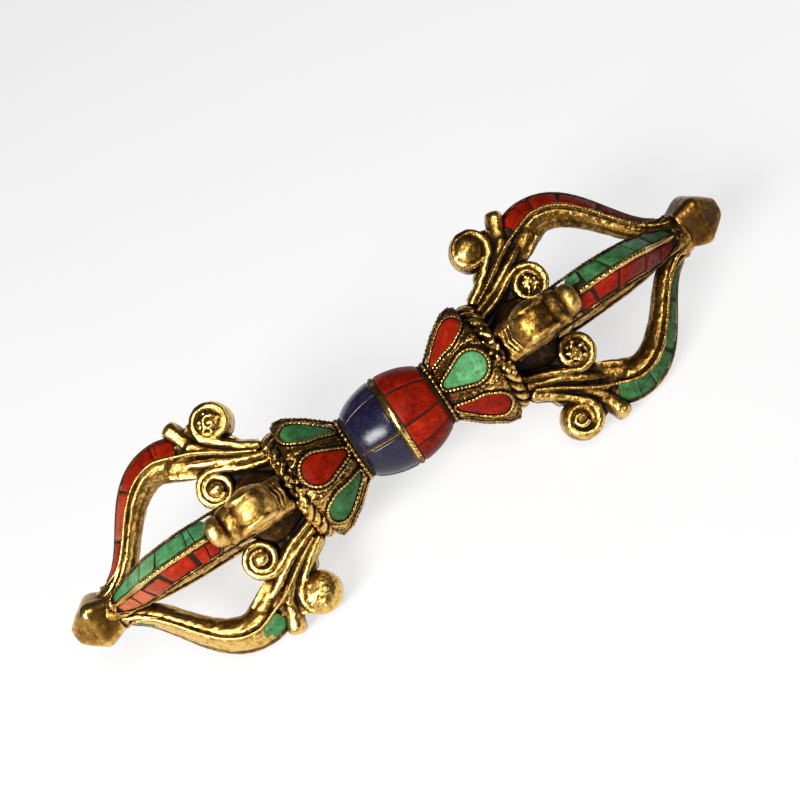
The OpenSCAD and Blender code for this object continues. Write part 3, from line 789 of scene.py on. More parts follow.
def nub(worn):
    """A thick peg at the head of the stem, with a blunt end or an end worn round."""
    axis = unit(NUB_HEAD - NUB_FOOT)
    out = np.array([-axis[1], axis[0]])
    a = full_turn(28)
    across = squared_off(np.cos(a), 0.75) * NUB_HALF
    outward = squared_off(np.sin(a), 0.9) * NUB_THICK
    rings = []
    for t, k in NUB_ROUND if worn else NUB_BLUNT:
        centre = NUB_FOOT + (NUB_HEAD - NUB_FOOT) * t
        rings.append(side_line(centre + (outward * k)[:, None] * out, across * k))
    return skin(rings)


def foot_plate():
    """A plate with four raised chevrons over the foot."""
    parts = [slab(FOOT_PLATE, FOOT_HALF)]
    for k in range(4):
        x, z = 27.1 + 0.85 * k, 13.15 + 0.46 * k
        chevron = [(x + 0.55, -2.5, z + 0.15), (x - 0.15, 0, z), (x + 0.55, 2.5, z + 0.15)]
        parts.append(tube(chevron, 0.36, 8))
    return joined(parts)


def stem_parts(styles, seed):
    """Web, scrolls, strands, nub and foot; styles names the scroll's face on each side."""
    rng = np.random.default_rng(seed)
    plain = styles[1] == "plain"
    parts = [slab(WEB, WEB_HALF), slab(SADDLE, WEB_HALF), slab(WEDGE, WEDGE_HALF),
             tube(side_line(ROOT_LINE, 0), ROOT_R, 20),
             lathe_b(SCROLL_C, SCROLL_SWELL if plain else SCROLL_DRUM), lathe_b(CURL_C, CURL_DRUM)]
    for side in SIDES:
        parts += strands(side)
        parts.append(scroll_button(side, styles[side], rng))
        parts.append(curl_face(side, styles[side] in ("dome", "hook"), rng))
    if plain:
        parts.append(balls([SADDLE_EGG], [SADDLE_EGG_R]))
    return parts + [nub(plain), foot_plate()]


FINE_VOXEL = 0.17


def side_prong(name, styles, seed, material):
    lumps = [(5.0, 0.14, seed), (1.6, 0.08, seed + 1), (0.8, 0.06, seed + 2)]
    me = cast(name, [bow_body()] + stem_parts(styles, seed), FINE_VOXEL, 3, lumps, rests=True)
    return dress(leaned(me), material)


FRONTS = both_ends(side_prong("front_prong", {1: "plain", -1: "plain"}, 9, MAT_FRONT))
PRONGS = [both_ends(side_prong("side_prong_a", {1: "bumps", -1: "flower"}, 5, MAT_BRASS))[0],
          side_prong("side_prong_b", {1: "hook", -1: "dome"}, 1, MAT_BRASS)]


# Inlay of one roof face: stones with uneven edges in dark cement.

STONE_ARCH, JOINT_HALF, JOINT_SKEW, STONE_TILT = 0.3, 0.006, 0.012, 0.06
EDGE_WORN, EDGE_WIDTH = 0.2, 0.16


def roof_stone(s0, s1, side, seed, cut=(0, 1), sink=0.0):
    """One stone between two joints; cut is the part of the face's width that it fills."""
    rng = np.random.default_rng(seed)
    across, along = 7, max(8, int((s1 - s0) * 46))
    u = np.linspace(0, 1, along)
    low, high = rng.uniform(-1, 1, 2), rng.uniform(-1, 1, 2)
    tilt = rng.uniform(-STONE_TILT, STONE_TILT, 2)
    top, base = np.zeros((along, across, 3)), np.zeros((along, across, 3))
    for j, q in enumerate(np.linspace(0, 1, across)):
        a = s0 + (low[0] + (low[1] - low[0]) * q) * JOINT_SKEW
        b = s1 + (high[0] + (high[1] - high[0]) * q) * JOINT_SKEW
        s = a + (b - a) * u
        arch = np.sqrt(1 - np.clip((s - ARCH_START) / STONE_ARCH, 0, 0.98) ** 2)
        inner, outer = RIDGE_HALF + 0.12, RIDGE_HALF + 0.2 + (eave_b(s) - 0.4 - RIDGE_HALF) * arch
        w = inner + (outer - inner) * (cut[0] + (cut[1] - cut[0]) * q)
        outermost, innermost = j == across - 1, j == 0
        w = w + 0.06 * np.sin(9 * u + seed) * (outermost - innermost)
        edge = np.minimum(np.minimum(u, 1 - u) * (s1 - s0) * 26, min(q, 1 - q) * 3)
        worn = EDGE_WORN * np.exp(-(edge / EDGE_WIDTH) ** 2)
        lift = TILE_RISE - sink + tilt[0] * (u - 0.5) + tilt[1] * (q - 0.5) - worn
        n = roof_n(s, w)
        top[:, j] = on_bow(s, w * side, n + lift)
        base[:, j] = on_bow(s, w * side, n - TILE_T + 0.1)
    return plate(top, base)


def cement_bed(side, lift):
    """The filling of a bed, uneven on top."""
    s = np.linspace(BED_START - 0.01, BED_END + 0.01, 60)
    top, base = [], []
    for q in np.linspace(0, 1, 6):
        w = RIDGE_HALF + 0.02 + (eave_b(s) - LIP_W - RIDGE_HALF) * q
        rough = 0.05 * np.sin(31 * s + 7 * q) + 0.04 * np.sin(67 * s + 3 * q)
        top.append(on_bow(s, w * side, roof_n(s, w) - 0.12 + lift + rough))
        base.append(on_bow(s, w * side, roof_n(s, w) - TILE_T))
    return skin(np.array(top + base[::-1]).transpose(1, 0, 2))


def between(*joints):
    """Whole stones between neighbouring joints."""
    return list(zip(joints, joints[1:]))


# Each stone is (start, end), and where needed the part of the width that it fills and how deep it lies.
TURQUOISE_ROWS = {
    "plain": between(0.03, 0.75, 1.2, 1.52, 1.88),
    "right_front_top": [(0.05, 0.62, (0.35, 1), 0.06)] + between(0.74, 1.1, 1.36, 1.6, 1.86),
    "left_front_top": between(0.03, 0.72, 1.0, 1.24, 1.46, 1.66, 1.88),
    "left_front_base": [(0.03, 0.88), (0.88, 1.02, (0.4, 1)), (1.72, 1.88, (0, 0.5))],
    "right_front_base": between(0.03, 0.9, 1.08, 1.3, 1.6, 1.88),
}
CORAL_ROWS = {
    "plain": between(0.03, 0.7, 1.1, 1.4, 1.88),
    "right_front_top": [(0.03, 0.72, (0.12, 0.9)), (0.84, 1.14, (0, 0.85)), (1.14, 1.42, (0, 0.9)),
                        *between(1.42, 1.66, 1.86)],
    "left_front_top": [(0.03, 0.5, (0.1, 0.9)), (0.52, 0.98, (0.1, 1)), (1.02, 1.24, (0, 0.9)),
                       (1.26, 1.48, (0.15, 1)), *between(1.5, 1.68, 1.88)],
    "left_back_top": between(0.03, 0.82, 1.0, 1.3, 1.6, 1.88),
    "right_back_top": between(0.03, 0.86, 1.06, 1.24, 1.5, 1.88),
}
INLAYS = [("turquoise", TURQUOISE_ROWS, 1, MAT_TURQUOISE), ("coral", CORAL_ROWS, -1, MAT_CORAL)]
INLAY_TONES = {"left_front_top_turquoise_inlay": 1.5, "left_front_top_coral_inlay": 2.5,
               "left_back_top_coral_inlay": 0.5, "right_front_base_turquoise_inlay": -2.0,
               "right_back_top_coral_inlay": -1.0}
BARE_INLAY, BARE_LIFT = "left_front_base_turquoise_inlay", 0.16


def inlay(name, stones, side, end, material, seed):
    """The stones of one face and their bed, which is bare metal where most stones are lost."""
    parts = [roof_stone(s0 + JOINT_HALF, s1 - JOINT_HALF, side, seed + k, *rest)
             for k, (s0, s1, *rest) in enumerate(stones)]
    lift, filling = (BARE_LIFT, MAT_BEAD) if name == BARE_INLAY else (0.0, MAT_CEMENT)
    me = two_part_mesh(name, joined(parts), cement_bed(side, lift), material, filling)
    set_tone(me, parts, seed, INLAY_TONES.get(name, 0.0))
    return leaned(for_end(me, end))


# Beaded wires of a prong.

MOST_WORN, LOST = 0.9, 0.95


def bead_row(path, pitch, radius, wear, seed, along=1.0):
    """Beads along a line; wear, given for its two ends, flattens them."""
    count = max(2, int(line_length(path) / pitch))
    rng = np.random.default_rng(seed)
    size = radius * (1 + rng.uniform(-0.1, 0.1, count))
    worn = np.linspace(*wear, count).clip(0, MOST_WORN) + rng.uniform(-0.1, 0.1, count)
    worn = worn.clip(0, 1)
    keep = worn < LOST
    radii = np.stack([size * along, size * (1 - 0.25 * worn), size * (1 - 0.35 * worn)], axis=1)
    return balls(even_line(path, count)[keep], radii[keep])


def prong_wires(seed, beads_to):
    """Edge wires and the ridge wire, which is beaded up to a place and worn smooth beyond it."""
    edges = []
    for side in SIDES:
        path = edge_wire(side)
        edges.append(tube(path, 0.24 if beads_to else 0.33, 8))
        edges.append(bead_row(path, 0.72, 0.37, (0.2, 0.2), seed + side))
    s = np.linspace(BED_START + 0.01, BED_END, 60)
    top = [tube(on_bow(s, 0, -0.12), np.interp(s, [0.3, 1.3, 1.88], [0.55, 0.55, 0.42]), 10)]
    looks = (MAT_BEAD, MAT_EDGE)
    if beads_to:
        path = on_bow(np.linspace(BED_START + 0.02, beads_to, 40), 0, 0.1)
        top.append(bead_row(path, 1.25, 0.64, (-0.35, 0.75), seed + 5, 1.2))
        looks = (MAT_EDGE, MAT_RUBBED)
    return leaned(two_part_mesh("prong_wires", joined(edges), joined(top), *looks))


FRONT_WIRES, SIDE_WIRES = both_ends(prong_wires(11, 1.4)), both_ends(prong_wires(14, 0))


def add_side_prong(end_name, end, number, place, angle):
    """One prong with its stones and wires."""
    key, turn = f"{end_name}_{place}", angle - LEAN
    meshes, wires = (FRONTS, FRONT_WIRES) if place == "front_top" else (PRONGS, SIDE_WIRES)
    piece(key + "_cast", meshes[end], key + "_prong", turn)
    for slot, rows, side, material in INLAYS:
        name, seed = f"{key}_{slot}_inlay", 100 * end + 17 * number + side + 2
        me = inlay(name, rows.get(key, rows["plain"]), side, end, material, seed)
        piece(name, me, f"{key}_{slot}_tiles", turn)
    piece(key + "_beads", wires[end], key + "_bead_wires", turn)


for end_name, end in ENDS:
    for number, (place, angle) in enumerate(PLACES):
        add_side_prong(end_name, end, number, place, angle)


# Centre prong: shaft with a bud at its foot and a blunt finial, as (x, half width).

SHAFT = [(FOOT_X, 3.1), (55.4, 3.1), (60, 2.6), (63.8, 2.2), (73.5, 2.2)]
BUD = [(FOOT_X, 6.0), (29, 7.0), (31, 7.9), (33, 8.3), (34.8, 8.1), (36.4, 6.6), (38.6, 4.2), (41, 2.9)]
FINIAL = [(72.2, 4.0), (73.6, 4.5), (75.2, 5.1), (76.4, 5.4), (77.2, 5.3), (79.0, 4.2), (80.8, 2.9),
          (81.9, 2.0), (82.3, 1.2)]
# Along the axis, up to the second of these in mm, the shaft and its bud are painted in shade.
FINIAL_TURN, PAINTED_SHADE_TO = 62, 64
BEND_START, BEND_LENGTH = 58, 14
BENDS = {"left": (0.9, -0.3, -0.35), "right": (0, 0.5, 0.55)}


def square_loft(levels, corner, turn=45, sides=48):
    """A loft with rounded square sections, turned about the axis."""
    c, s = circle(full_turn(sides)).T
    shape = 1 / (np.abs(c) ** corner + np.abs(s) ** corner) ** (1 / corner)
    y, z = shape * c, shape * s
    c, s = math.cos(math.radians(turn)), math.sin(math.radians(turn))
    return skin([np.stack([np.full(sides, x), r * (y * c - z * s), r * (y * s + z * c)], axis=1)
                 for x, r in levels])


def centre_prong():
    parts = [square_loft(SHAFT, 7), square_loft(BUD, 2.6), square_loft(FINIAL, 6, FINIAL_TURN)]
    me = cast("centre_prong", parts, 0.2, 6, [(5.5, 0.4, 31), (2.6, 0.08, 33), (1.1, 0.03, 32)])
    return dress(me, MAT_TIP, MAT_PAINTED_SHADE, index=[int(p.center.x < PAINTED_SHADE_TO * MM) for p in me.polygons])


def bent(me, shift):
    """Moves the finial by a small amount, as if the shaft were bent."""
    p, _ = mesh_arrays(me)
    share = np.clip((np.abs(p[:, 0]) / MM - BEND_START) / BEND_LENGTH, 0, 1)
    move_points(me, p + eased(share)[:, None] * np.array(shift) * MM)
    return me


CENTRES = both_ends(centre_prong())
for end_name, end in ENDS[::-1]:
    piece(end_name + "_centre_cast", bent(CENTRES[end], BENDS[end_name]), end_name + "_centre_prong")


# Lotus cups: eight sides with petal stones in twisted bezels.

PETAL_R, PETAL_TIP_R = PETAL_W / 2, PETAL_TIP_W / 2
PETAL_C, PETAL_TIP_C = PETAL_X + PETAL_L - PETAL_R, PETAL_X + PETAL_TIP_R


def petal_outline(grow, count):
    """Even points round a petal: a large and a small arc with straight sides between them."""
    r0, r1 = PETAL_TIP_R + grow, PETAL_R + grow
    lean = math.degrees(math.asin((r1 - r0) / (PETAL_C - PETAL_TIP_C)))
    wide = np.radians(np.linspace(-90 - lean, 90 + lean, 40))
    tip = np.radians(np.linspace(90 + lean, 270 - lean, 20))
    line = np.vstack([(PETAL_C, 0) + r1 * circle(wide), (PETAL_TIP_C, 0) + r0 * circle(tip)])
    return even_line(np.vstack([line, line[:1]]), count + 1)[:-1]


def petal_distance(x, t):
    """Distance outside (+) or inside (-) a petal's outline, and the way along it."""
    line = petal_outline(0.0, 159)
    d = np.linalg.norm(np.stack([x, t], axis=1)[:, None] - line, axis=2)
    g = np.clip((x - PETAL_TIP_C) / (PETAL_C - PETAL_TIP_C), 0, 1)
    reach = PETAL_TIP_R + (PETAL_R - PETAL_TIP_R) * g
    inside = np.hypot(x - (PETAL_TIP_C + g * (PETAL_C - PETAL_TIP_C)), t) < reach
    step = line_length(np.vstack([line, line[:1]])) / len(line)
    return np.where(inside, -1, 1) * d.min(1), d.argmin(1) * step


def cup_half(x):
    return np.interp(x, *np.transpose(CUP_LEVELS))


SLOPE_STEP = 0.2
SLOPE_X = np.linspace(11, 23.4, 63)
CUP_SLOPE = np.gradient(cup_half(SLOPE_X), SLOPE_STEP)


def over_flat(x, t, h):
    """Points over the flat that faces +Z: x along, t across, h above it."""
    g = np.interp(x, SLOPE_X, CUP_SLOPE)
    k = np.sqrt(1 + g * g)
    return np.stack([x - h * g / k, t, cup_half(x) + h / k], axis=1)


def turned(points, angle):
    """Points of the flat that faces +Z, turned to the flat at an angle."""
    a = math.radians(angle - 90)
    c, s = math.cos(a), math.sin(a)
    p = np.asarray(points)
    return np.stack([p[:, 0], c * p[:, 1] - s * p[:, 2], s * p[:, 1] + c * p[:, 2]], axis=1)


# Relief of a cup's side, by distance from the petal's outline.
RIM_AT, RIM_W, RIM_PITCH = 1.02, 0.2, 0.7
GAP_AT, GAP_W, GAP_DEPTH = 0.7, 0.14, 0.25
GROUND_AT, GROUND_FADE, GROUND_DEPTH = 0.8, 0.4, 0.2
POCKET_DEPTH, WORN_LENGTH = 0.7, 1.6


def cup_side(angle, seed):
    """One side of a cup as a relief: pocket, gap, twisted rim and rough ground."""
    rows, cols = 104, 72
    grid = np.meshgrid(np.linspace(CUP_X + 0.02, SHOULDER_X, rows), np.linspace(-1, 1, cols), indexing="ij")
    x, u = (v.ravel() for v in grid)
    t = u * (cup_half(x) * math.tan(math.radians(22.5)))
    d, run = petal_distance(x, t)
    twist = 0.5 + 0.5 * np.cos(TURN * run / RIM_PITCH)
    rim = np.exp(-((d - RIM_AT) / RIM_W) ** 2) * (0.1 + 0.24 * twist)
    gap = -GAP_DEPTH * np.exp(-((d - GAP_AT) / GAP_W) ** 2)
    pocket = np.where(d < -0.1, -POCKET_DEPTH, 0.0)
    flat = np.stack([x, t, np.full(d.size, seed * 9.0)], axis=1)
    rough = 0.2 * soft_noise(flat, 0.8, seed) + 0.14 * soft_noise(flat, 0.4, seed) - GROUND_DEPTH
    ground = np.clip((d - GROUND_AT) / GROUND_FADE, 0, 1) * rough
    worn_end = np.clip((x - SHOULDER_X + WORN_LENGTH) / WORN_LENGTH, 0, 1)
    corner = -(0.25 + 0.75 * worn_end) * np.clip((np.abs(u) - 0.7) / 0.3, 0, 1) ** 2
    fade = np.clip((1 - np.abs(u)) / 0.05, 0, 1)
    h = (rim + gap) * np.where(d > 1.2, 1, np.maximum(fade, 0.15)) + pocket + ground * fade + corner
    h = h - 0.5 * worn_end ** 3
    return turned(over_flat(x, t, h), angle), quads(rows, cols)


# Levels inside a cup: x, radius and how far the section is eight-sided.
CUP_INSIDE = [(CUP_X - 0.05, BORE_R, 0), (CUP_X - 0.05, 6.3, 0), (CUP_X + 0.1, 6.62, 1), (15.6, 9.6, 1),
              (20, 12.4, 1), (22.5, 12.4, 1), (22.95, 12.5, 0.6), (23.3, 12.0, 0.4), (23.5, 9.9, 0),
              (26.2, BOSS_R, 0), (BOSS_X, 9.3, 0), (BOSS_X, BORE_R, 0)]


def cup_inside():
    """Neck, shoulder and boss that close a cup."""
    a = np.radians(np.arange(0, 360, 3.75))
    octagon = 1 / np.cos((a + math.pi / 8) % (math.pi / 4) - math.pi / 8)
    return skin([ring_x(x, r * (1 + (octagon - 1) * share), a) for x, r, share in CUP_INSIDE])


def lotus_cup():
    sides = [cup_side(angle, number + 1) for number, angle in enumerate(EIGHTHS)]
    me = dress(make_mesh("lotus_cup", joined([cup_inside()] + sides)), MAT_CUP)
    set_relief(me, 8)
    return me


BEZEL_GROW, BEZEL_LIFT, BEZEL_R, BEZEL_PITCH, BEZEL_POINTS = 0.36, 0.14, 0.33, 0.8, 180


def petal_bezel(angle, seed):
    """A twisted wire round one petal stone."""
    line = petal_outline(BEZEL_GROW, BEZEL_POINTS)
    run = np.arange(BEZEL_POINTS) * line_length(line) / BEZEL_POINTS
    at = turned(over_flat(line[:, 0], line[:, 1], BEZEL_LIFT), angle)
    start = np.random.default_rng(seed).uniform(0, 6)
    size = BEZEL_R * (1 + 0.26 * np.cos(TURN * run / BEZEL_PITCH + start))
    return closed_tube(at, size * (1 + 0.12 * soft_noise(at, 1.5, seed)), 8)


# Levels of a petal stone: share of its outline and height over the flat.
PETAL_LEVELS = [(1.0, -1.0), (1.0, -0.12), (0.985, 0.02), (0.95, 0.12), (0.88, 0.18), (0.7, 0.22),
                (0.45, 0.25), (0.2, 0.26)]


def petal_stone(angle, seed):
    """A petal stone, slightly domed and tilted, with a worn rim."""
    line = petal_outline(0.0, 72)
    middle = np.array([PETAL_X + PETAL_L * 0.6, 0])
    tilt = np.random.default_rng(seed).uniform(-0.015, 0.015, 2)
    rings = []
    for share, height in PETAL_LEVELS:
        p = middle + (line - middle) * share
        h = height + (p - middle) @ tilt if height > -0.5 else height
        rings.append(turned(over_flat(p[:, 0], p[:, 1], h), angle))
    return skin(rings)


# Rope rim: egg-shaped lumps laid aslant like a rope, with rough solder under the front prong.

ROPE_LAYS, LAY_SLANT, LAY_SIZE = 22, (0.54, 0.84), np.array([2.9, 1.05, 1.5])
SOLDER_GRAINS, SOLDER_AT, SOLDER_SPREAD = 100, 135, 12


def rope_rim(seed):
    rng = np.random.default_rng(seed)
    centre = np.array([SHOULDER_X + ROPE_R - 0.05, 0, 0])
    parts = []
    for k in range(ROPE_LAYS):
        a = TURN * (k + rng.uniform(-0.12, 0.12)) / ROPE_LAYS
        radial, tangent = np.array([0, math.cos(a), math.sin(a)]), np.array([0, -math.sin(a), math.cos(a)])
        lay = unit(LAY_SLANT[1] * tangent + LAY_SLANT[0] * np.array([1.0, 0, 0]))
        axes = np.array([lay, np.cross(lay, radial), radial])
        egg = (DOME[0] * (LAY_SIZE * rng.uniform(0.92, 1.1))) @ axes
        parts.append((egg + (BOSS_R + ROPE_R) * radial + centre, DOME[1]))
    grains = []
    for _ in range(SOLDER_GRAINS):
        a = math.radians(SOLDER_AT + rng.normal(0, SOLDER_SPREAD))
        r = 11.9 + rng.uniform(-0.6, 0.9)
        grains.append((23.2 + rng.uniform(-0.6, 2.6), r * math.cos(a), r * math.sin(a)))
    parts.append(balls(grains, rng.uniform(0.35, 0.75, len(grains))))
    me = cast("rope_rim", parts, FINE_VOXEL, 1, [(1.6, 0.18, seed), (0.6, 0.08, seed + 1)])
    return dress(me, MAT_BRASS)


RUBBED_OFF = 0.7


def bead_ring(x, radius, bead, count, seed, wear=None):
    """Beads round the axis; those that wear has rubbed off are left out."""
    a = full_turn(count)
    size = bead * (1 + np.random.default_rng(seed).uniform(-0.12, 0.12, count))
    keep = np.full(count, True) if wear is None else wear(np.degrees(a)) < RUBBED_OFF
    return balls(ring_x(x, radius, a)[keep], size[keep])


COLLAR = [(10.45, BORE_R), (10.45, 6.9), (10.7, 7.1), (11.1, 7.1), (11.35, 6.8), (11.35, BORE_R)]
COLLAR_BEADS = (10.9, 6.9, 0.6, 34)
PETAL_TONES = {("right", 135): 2.2, ("left", 135): 0.6}
CUPS = both_ends(lotus_cup())
BEZEL_RING = make_mesh("petal_bezels", joined([petal_bezel(a, a + 3) for a in EIGHTHS]))
BEZELS = both_ends(dress(BEZEL_RING, MAT_BEAD))
ROPES = both_ends(rope_rim(51))


def add_petals(end_name, end, slot, material, first):
    """The four petal stones of one colour at one end."""
    angles = range(first, first + 360, 90)
    stones = [petal_stone(a, a + end) for a in angles]
    name = f"{end_name}_{slot}_petal"
    me = dress(make_mesh(name, joined(stones)), material)
    set_tone(me, stones, first + end, [PETAL_TONES.get((end_name, a), 0.0) for a in angles])
    piece(name, for_end(me, end), f"{end_name}_{slot}_petals")


for end_name, end in ENDS:
    piece(end_name + "_cup", CUPS[end], end_name + "_lotus_cup")
    piece(end_name + "_bezels", BEZELS[end], end_name + "_petal_bezels")
    piece(end_name + "_rope", ROPES[end], end_name + "_rope_rim")
    add_petals(end_name, end, "coral", MAT_CORAL, 45 - 45 * end)
    add_petals(end_name, end, "turquoise", MAT_TURQUOISE, 45 * end)
    collar = joined([lathe_x(COLLAR), bead_ring(*COLLAR_BEADS, 61 + end)])
    collar = dress(make_mesh(end_name + "_collar_beads", collar), MAT_BEAD)
    piece(end_name + "_collar_beads", for_end(collar, end), end_name + "_collar")


# Grip: curved stones in dark cement, with a beaded band.

CORAL_JOINTS = [8, 60, 105, 150, 181, 226, 271, 316]
LAPIS_JOINTS = [35, 97, 153, 214, 274, 334]
CORAL_GAPS, LAPIS_GAPS = [0.9] * 8, [0.8, 0.8, 1.0, 0.8, 0.8, 0.8]
# The first two coral stones, along the top, are darker as painted shade; the others differ in tone.
CORAL_TONES_AND_SHADE = [-1.6, -1.6, 0.4, 0.4, -0.4, 0, 0, 0]
GRIP_STONE_T, GRIP_EDGE_WORN, GRIP_EDGE_WIDTH = 1.35, 0.22, 0.2


def grip_r(x):
    return GRIP_R * np.sqrt(1 - (np.asarray(x) / GRIP_OVAL) ** 2)


def grip_stone(a0, a1, seed):
    """One curved stone between two joints."""
    x0, x1 = BAND_W / 2 + 0.12, GRIP_HALF - GRIP_LIP - 0.05
    rows, cols = 22, max(14, int((a1 - a0) / 2.2))
    lean = np.random.default_rng(seed).uniform(-2.2, 2.2, 2)
    top, base = [], []
    for v in np.linspace(0, 1, rows):
        x = x0 + (x1 - x0) * v
        a = np.radians(np.linspace(a0 + lean[0] * (v - 0.5), a1 + lean[1] * (v - 0.5), cols))
        r = float(grip_r(x))
        edge = np.minimum(min(v, 1 - v) * (x1 - x0), np.minimum(a - a[0], a[-1] - a) * r)
        face = r - GRIP_EDGE_WORN * np.exp(-(edge / GRIP_EDGE_WIDTH) ** 2)
        face = face + 0.05 * soft_noise(ring_x(x, r, a), 3.0, seed)
        top.append(ring_x(x, face, a))
        base.append(ring_x(x, r - GRIP_STONE_T, a))
    return plate(np.array(top), np.array(base))


def add_grip_half(slot, joints, gaps, tones, end, material):
    """The ring of stones on one half of the grip."""
    parts = []
    for k, a in enumerate(joints):
        after = (k + 1) % len(joints)
        b = joints[after] + (360 if joints[after] < a else 0)
        parts.append(grip_stone(a + gaps[k], b - gaps[after], 7 * k + 300 * end))
    me = dress(make_mesh(slot + "_half", joined(parts)), material)
    set_tone(me, parts, end, tones)
    piece(slot + "_half", for_end(me, end), slot + "_stones")


add_grip_half("coral", CORAL_JOINTS, CORAL_GAPS, CORAL_TONES_AND_SHADE, 1, MAT_CORAL)
add_grip_half("lapis", LAPIS_JOINTS, LAPIS_GAPS, 0.0, 0, MAT_LAPIS)

LIP_SUNK, CEMENT_SUNK = 0.03, 0.2
BRASS_JOINTS = (-9.8 * MM, -0.6 * MM)


def grip_filling():
    """The cement between the stones, with brass between the lapis ones."""
    x = np.linspace(-GRIP_HALF + 0.02, GRIP_HALF - 0.02, 61)
    r = grip_r(x) - np.where(np.abs(x) > GRIP_HALF - GRIP_LIP, LIP_SUNK, CEMENT_SUNK)
    me = make_mesh("grip_filling", lathe_x([(x[0], BORE_R), *zip(x, r), (x[-1], BORE_R)]))
    index = [int(BRASS_JOINTS[0] < p.center.x < BRASS_JOINTS[1]) for p in me.polygons]
    return dress(me, MAT_CEMENT, MAT_EDGE, index=index)


piece("grip_filling", grip_filling(), "grip_core")

BAND = [(-0.62, 9.4), (-0.61, 10.2), (-0.45, 10.4), (0.45, 10.4), (0.61, 10.2), (0.62, 9.4)]
BAND_BEADS = (0, 10.12, 0.6, 54, 71)
# Beads are rubbed flat round the first angle. The band is rubbed bright round the second, which partly paints
# a highlight on the side towards the camera.
MOST_RUBBED, BRIGHT_AT, BRIGHT_REACH = 115, 150, 48


def degrees_from(angle, place):
    return np.abs((angle - place + 180) % 360 - 180)


def band_wear(angle):
    """How far the band's beads are rubbed flat, round the part."""
    return np.clip(1.6 - degrees_from(angle, MOST_RUBBED) / 50, 0, 1)


def grip_band():
    """The band with its beads, rubbed bright on one side, which is partly a painted highlight there."""
    me = make_mesh("band_beads", joined([lathe_x(BAND, 120), bead_ring(*BAND_BEADS, band_wear)]))
    angles = [math.degrees(math.atan2(p.center.z, p.center.y)) for p in me.polygons]
    bright = [int(degrees_from(a, BRIGHT_AT) < BRIGHT_REACH) for a in angles]
    return dress(me, MAT_EDGE, MAT_RUBBED, index=bright)


piece("band_beads", grip_band(), "grip_band")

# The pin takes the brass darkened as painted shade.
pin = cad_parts["centre_pin"].data
pin.materials.clear()
dress(pin, MAT_PAINTED_SHADE)


# Camera at the photograph's angle, from the fitted view; the centre and the image are in pixels.

VIEW_ANGLE, VIEW_TILT, VIEW_ROLL = (math.radians(v) for v in (138.25, 0.25, 33.52))
VIEW_DISTANCE, VIEW_SCALE = 267.5, 4.705
VIEW_CENTRE, IMAGE = (396.25, 421.0), 800.0
AXIS = Vector((1, 0, 0))


def placed(x, y, z, at):
    """A matrix with the given axes, at a point in millimetres."""
    return Matrix.Translation(at * MM) @ Matrix((x, y, z)).transposed().to_4x4()


toward = Vector((0, math.cos(VIEW_ANGLE), math.sin(VIEW_ANGLE)))
across = Vector((0, math.sin(VIEW_ANGLE), -math.cos(VIEW_ANGLE)))
back = math.cos(VIEW_TILT) * toward - math.sin(VIEW_TILT) * AXIS
along = math.cos(VIEW_TILT) * AXIS + math.sin(VIEW_TILT) * toward
right = along * math.cos(VIEW_ROLL) - across * math.sin(VIEW_ROLL)
up = along * math.sin(VIEW_ROLL) + across * math.cos(VIEW_ROLL)
aim = right * ((IMAGE / 2 - VIEW_CENTRE[0]) / VIEW_SCALE) + up * ((VIEW_CENTRE[1] - IMAGE / 2) / VIEW_SCALE)
look = (back * VIEW_DISTANCE - aim).normalized()
level = up.cross(look).normalized()
camera = add_object("camera", bpy.data.cameras.new("camera"))
camera.data.lens = VIEW_SCALE * VIEW_DISTANCE / IMAGE * camera.data.sensor_width
camera.data.clip_start, camera.data.clip_end = 0.01, 20
camera.matrix_world = placed(level, look.cross(level), look, back * VIEW_DISTANCE)
bpy.context.scene.camera = camera


# Floor: a wide disc with a raised rim, as (radius, height) in metres.

FLOOR_RINGS = [(3.0, 0.0), (3.6, 0.03), (4.2, 0.12), (4.7, 0.28), (5.0, 0.5)]
FLOOR_SIDES, FLOOR_GLOW = 72, 0.68
SEEN_GREY, OTHER_GREY, GREY_RANGE = 0.93, 0.5, 0.02


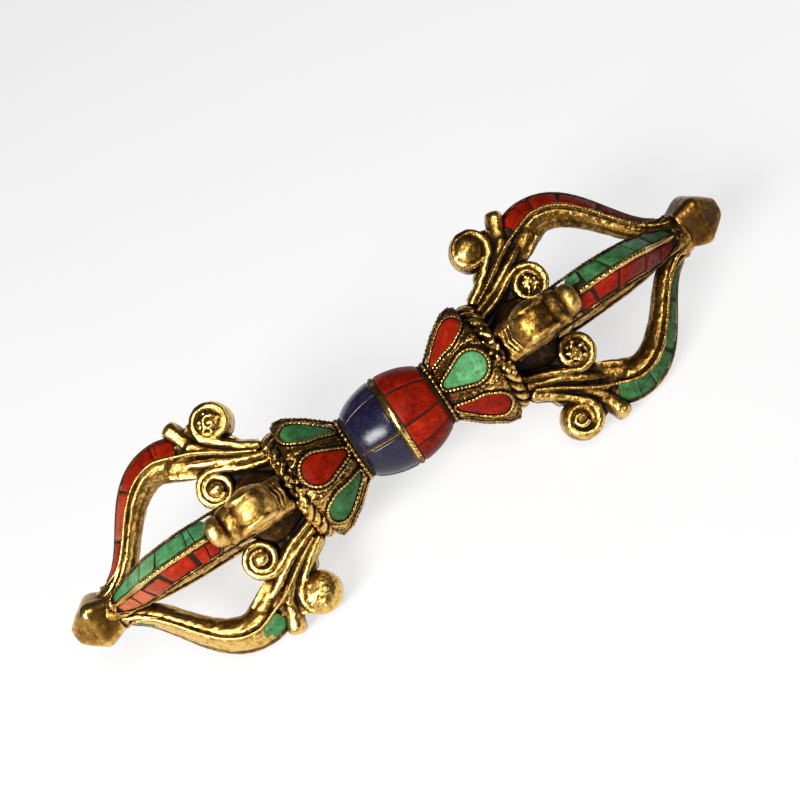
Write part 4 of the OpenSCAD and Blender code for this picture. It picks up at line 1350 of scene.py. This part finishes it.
def floor_mesh():
    a = full_turn(FLOOR_SIDES)
    points = [side_line(r * circle(a), height + FLOOR_Z * MM)[:, [0, 2, 1]] for r, height in FLOOR_RINGS]
    rim = [[a, d, c, b] for a, b, c, d in quads(len(FLOOR_RINGS), FLOOR_SIDES, True)]
    me = bpy.data.meshes.new("floor")
    me.from_pydata(np.vstack(points).tolist(), [], [list(range(FLOOR_SIDES))] + rim)
    return me


def floor_look():
    """Pale and partly glowing where it is seen, darker for the light that it throws back."""
    n = Nodes("pale_floor")
    cloud = n.noise(0.02, 2)
    rays = n.add("ShaderNodeLightPath").outputs
    seen = n.math("MAXIMUM", rays["Is Glossy Ray"], rays["Is Transmission Ray"])
    seen = n.math("MAXIMUM", rays["Is Camera Ray"], seen)
    other, pale = (n.ramp(cloud, [(0.3, (grey,) * 3), (0.7, (grey + GREY_RANGE,) * 3)])
                   for grey in (OTHER_GREY, SEEN_GREY))
    n.finish(Base_Color=n.mix(seen, other, pale), Roughness=0.9)
    glow = n.math("MULTIPLY", seen, FLOOR_GLOW)
    white = n.add("ShaderNodeEmission", {"Strength": 1.0}).outputs["Emission"]
    blend = n.add("ShaderNodeMixShader", {"Fac": glow, 1: n.shader.outputs["BSDF"], 2: white})
    n.link(blend.outputs["Shader"], n.tree.nodes["Material Output"].inputs["Surface"])
    return n.material


floor = add_object("floor", dress(floor_mesh(), floor_look()))


# World and lamps.

WORLD_LIGHT = 0.06
KEY_SWING = math.radians(35)
OVERHEAD = Vector((0.1, -0.5, 0.87))

world = bpy.data.worlds.new("studio")
bpy.context.scene.world = world
world.use_nodes = True
world.node_tree.nodes["Background"].inputs["Color"].default_value = (1, 1, 1, 1)
world.node_tree.nodes["Background"].inputs["Strength"].default_value = WORLD_LIGHT


def lamp(name, toward, distance, size, power):
    """A soft lamp that faces the part, long in the direction of its axis."""
    light = bpy.data.lights.new(name, "AREA")
    light.shape, light.energy = "RECTANGLE", power
    light.size, light.size_y = size[0] * MM, size[1] * MM
    z = toward.normalized()
    y = z.cross(AXIS).normalized()
    add_object(name, light).matrix_world = placed(y.cross(z), y, z, z * distance)


lamp("key", back * math.cos(KEY_SWING) - AXIS * math.sin(KEY_SWING), distance=800, size=(450, 250), power=8.4)
lamp("overhead", OVERHEAD, distance=1600, size=(800, 600), power=9.0)

bpy.context.scene.view_settings.view_transform = "Standard"
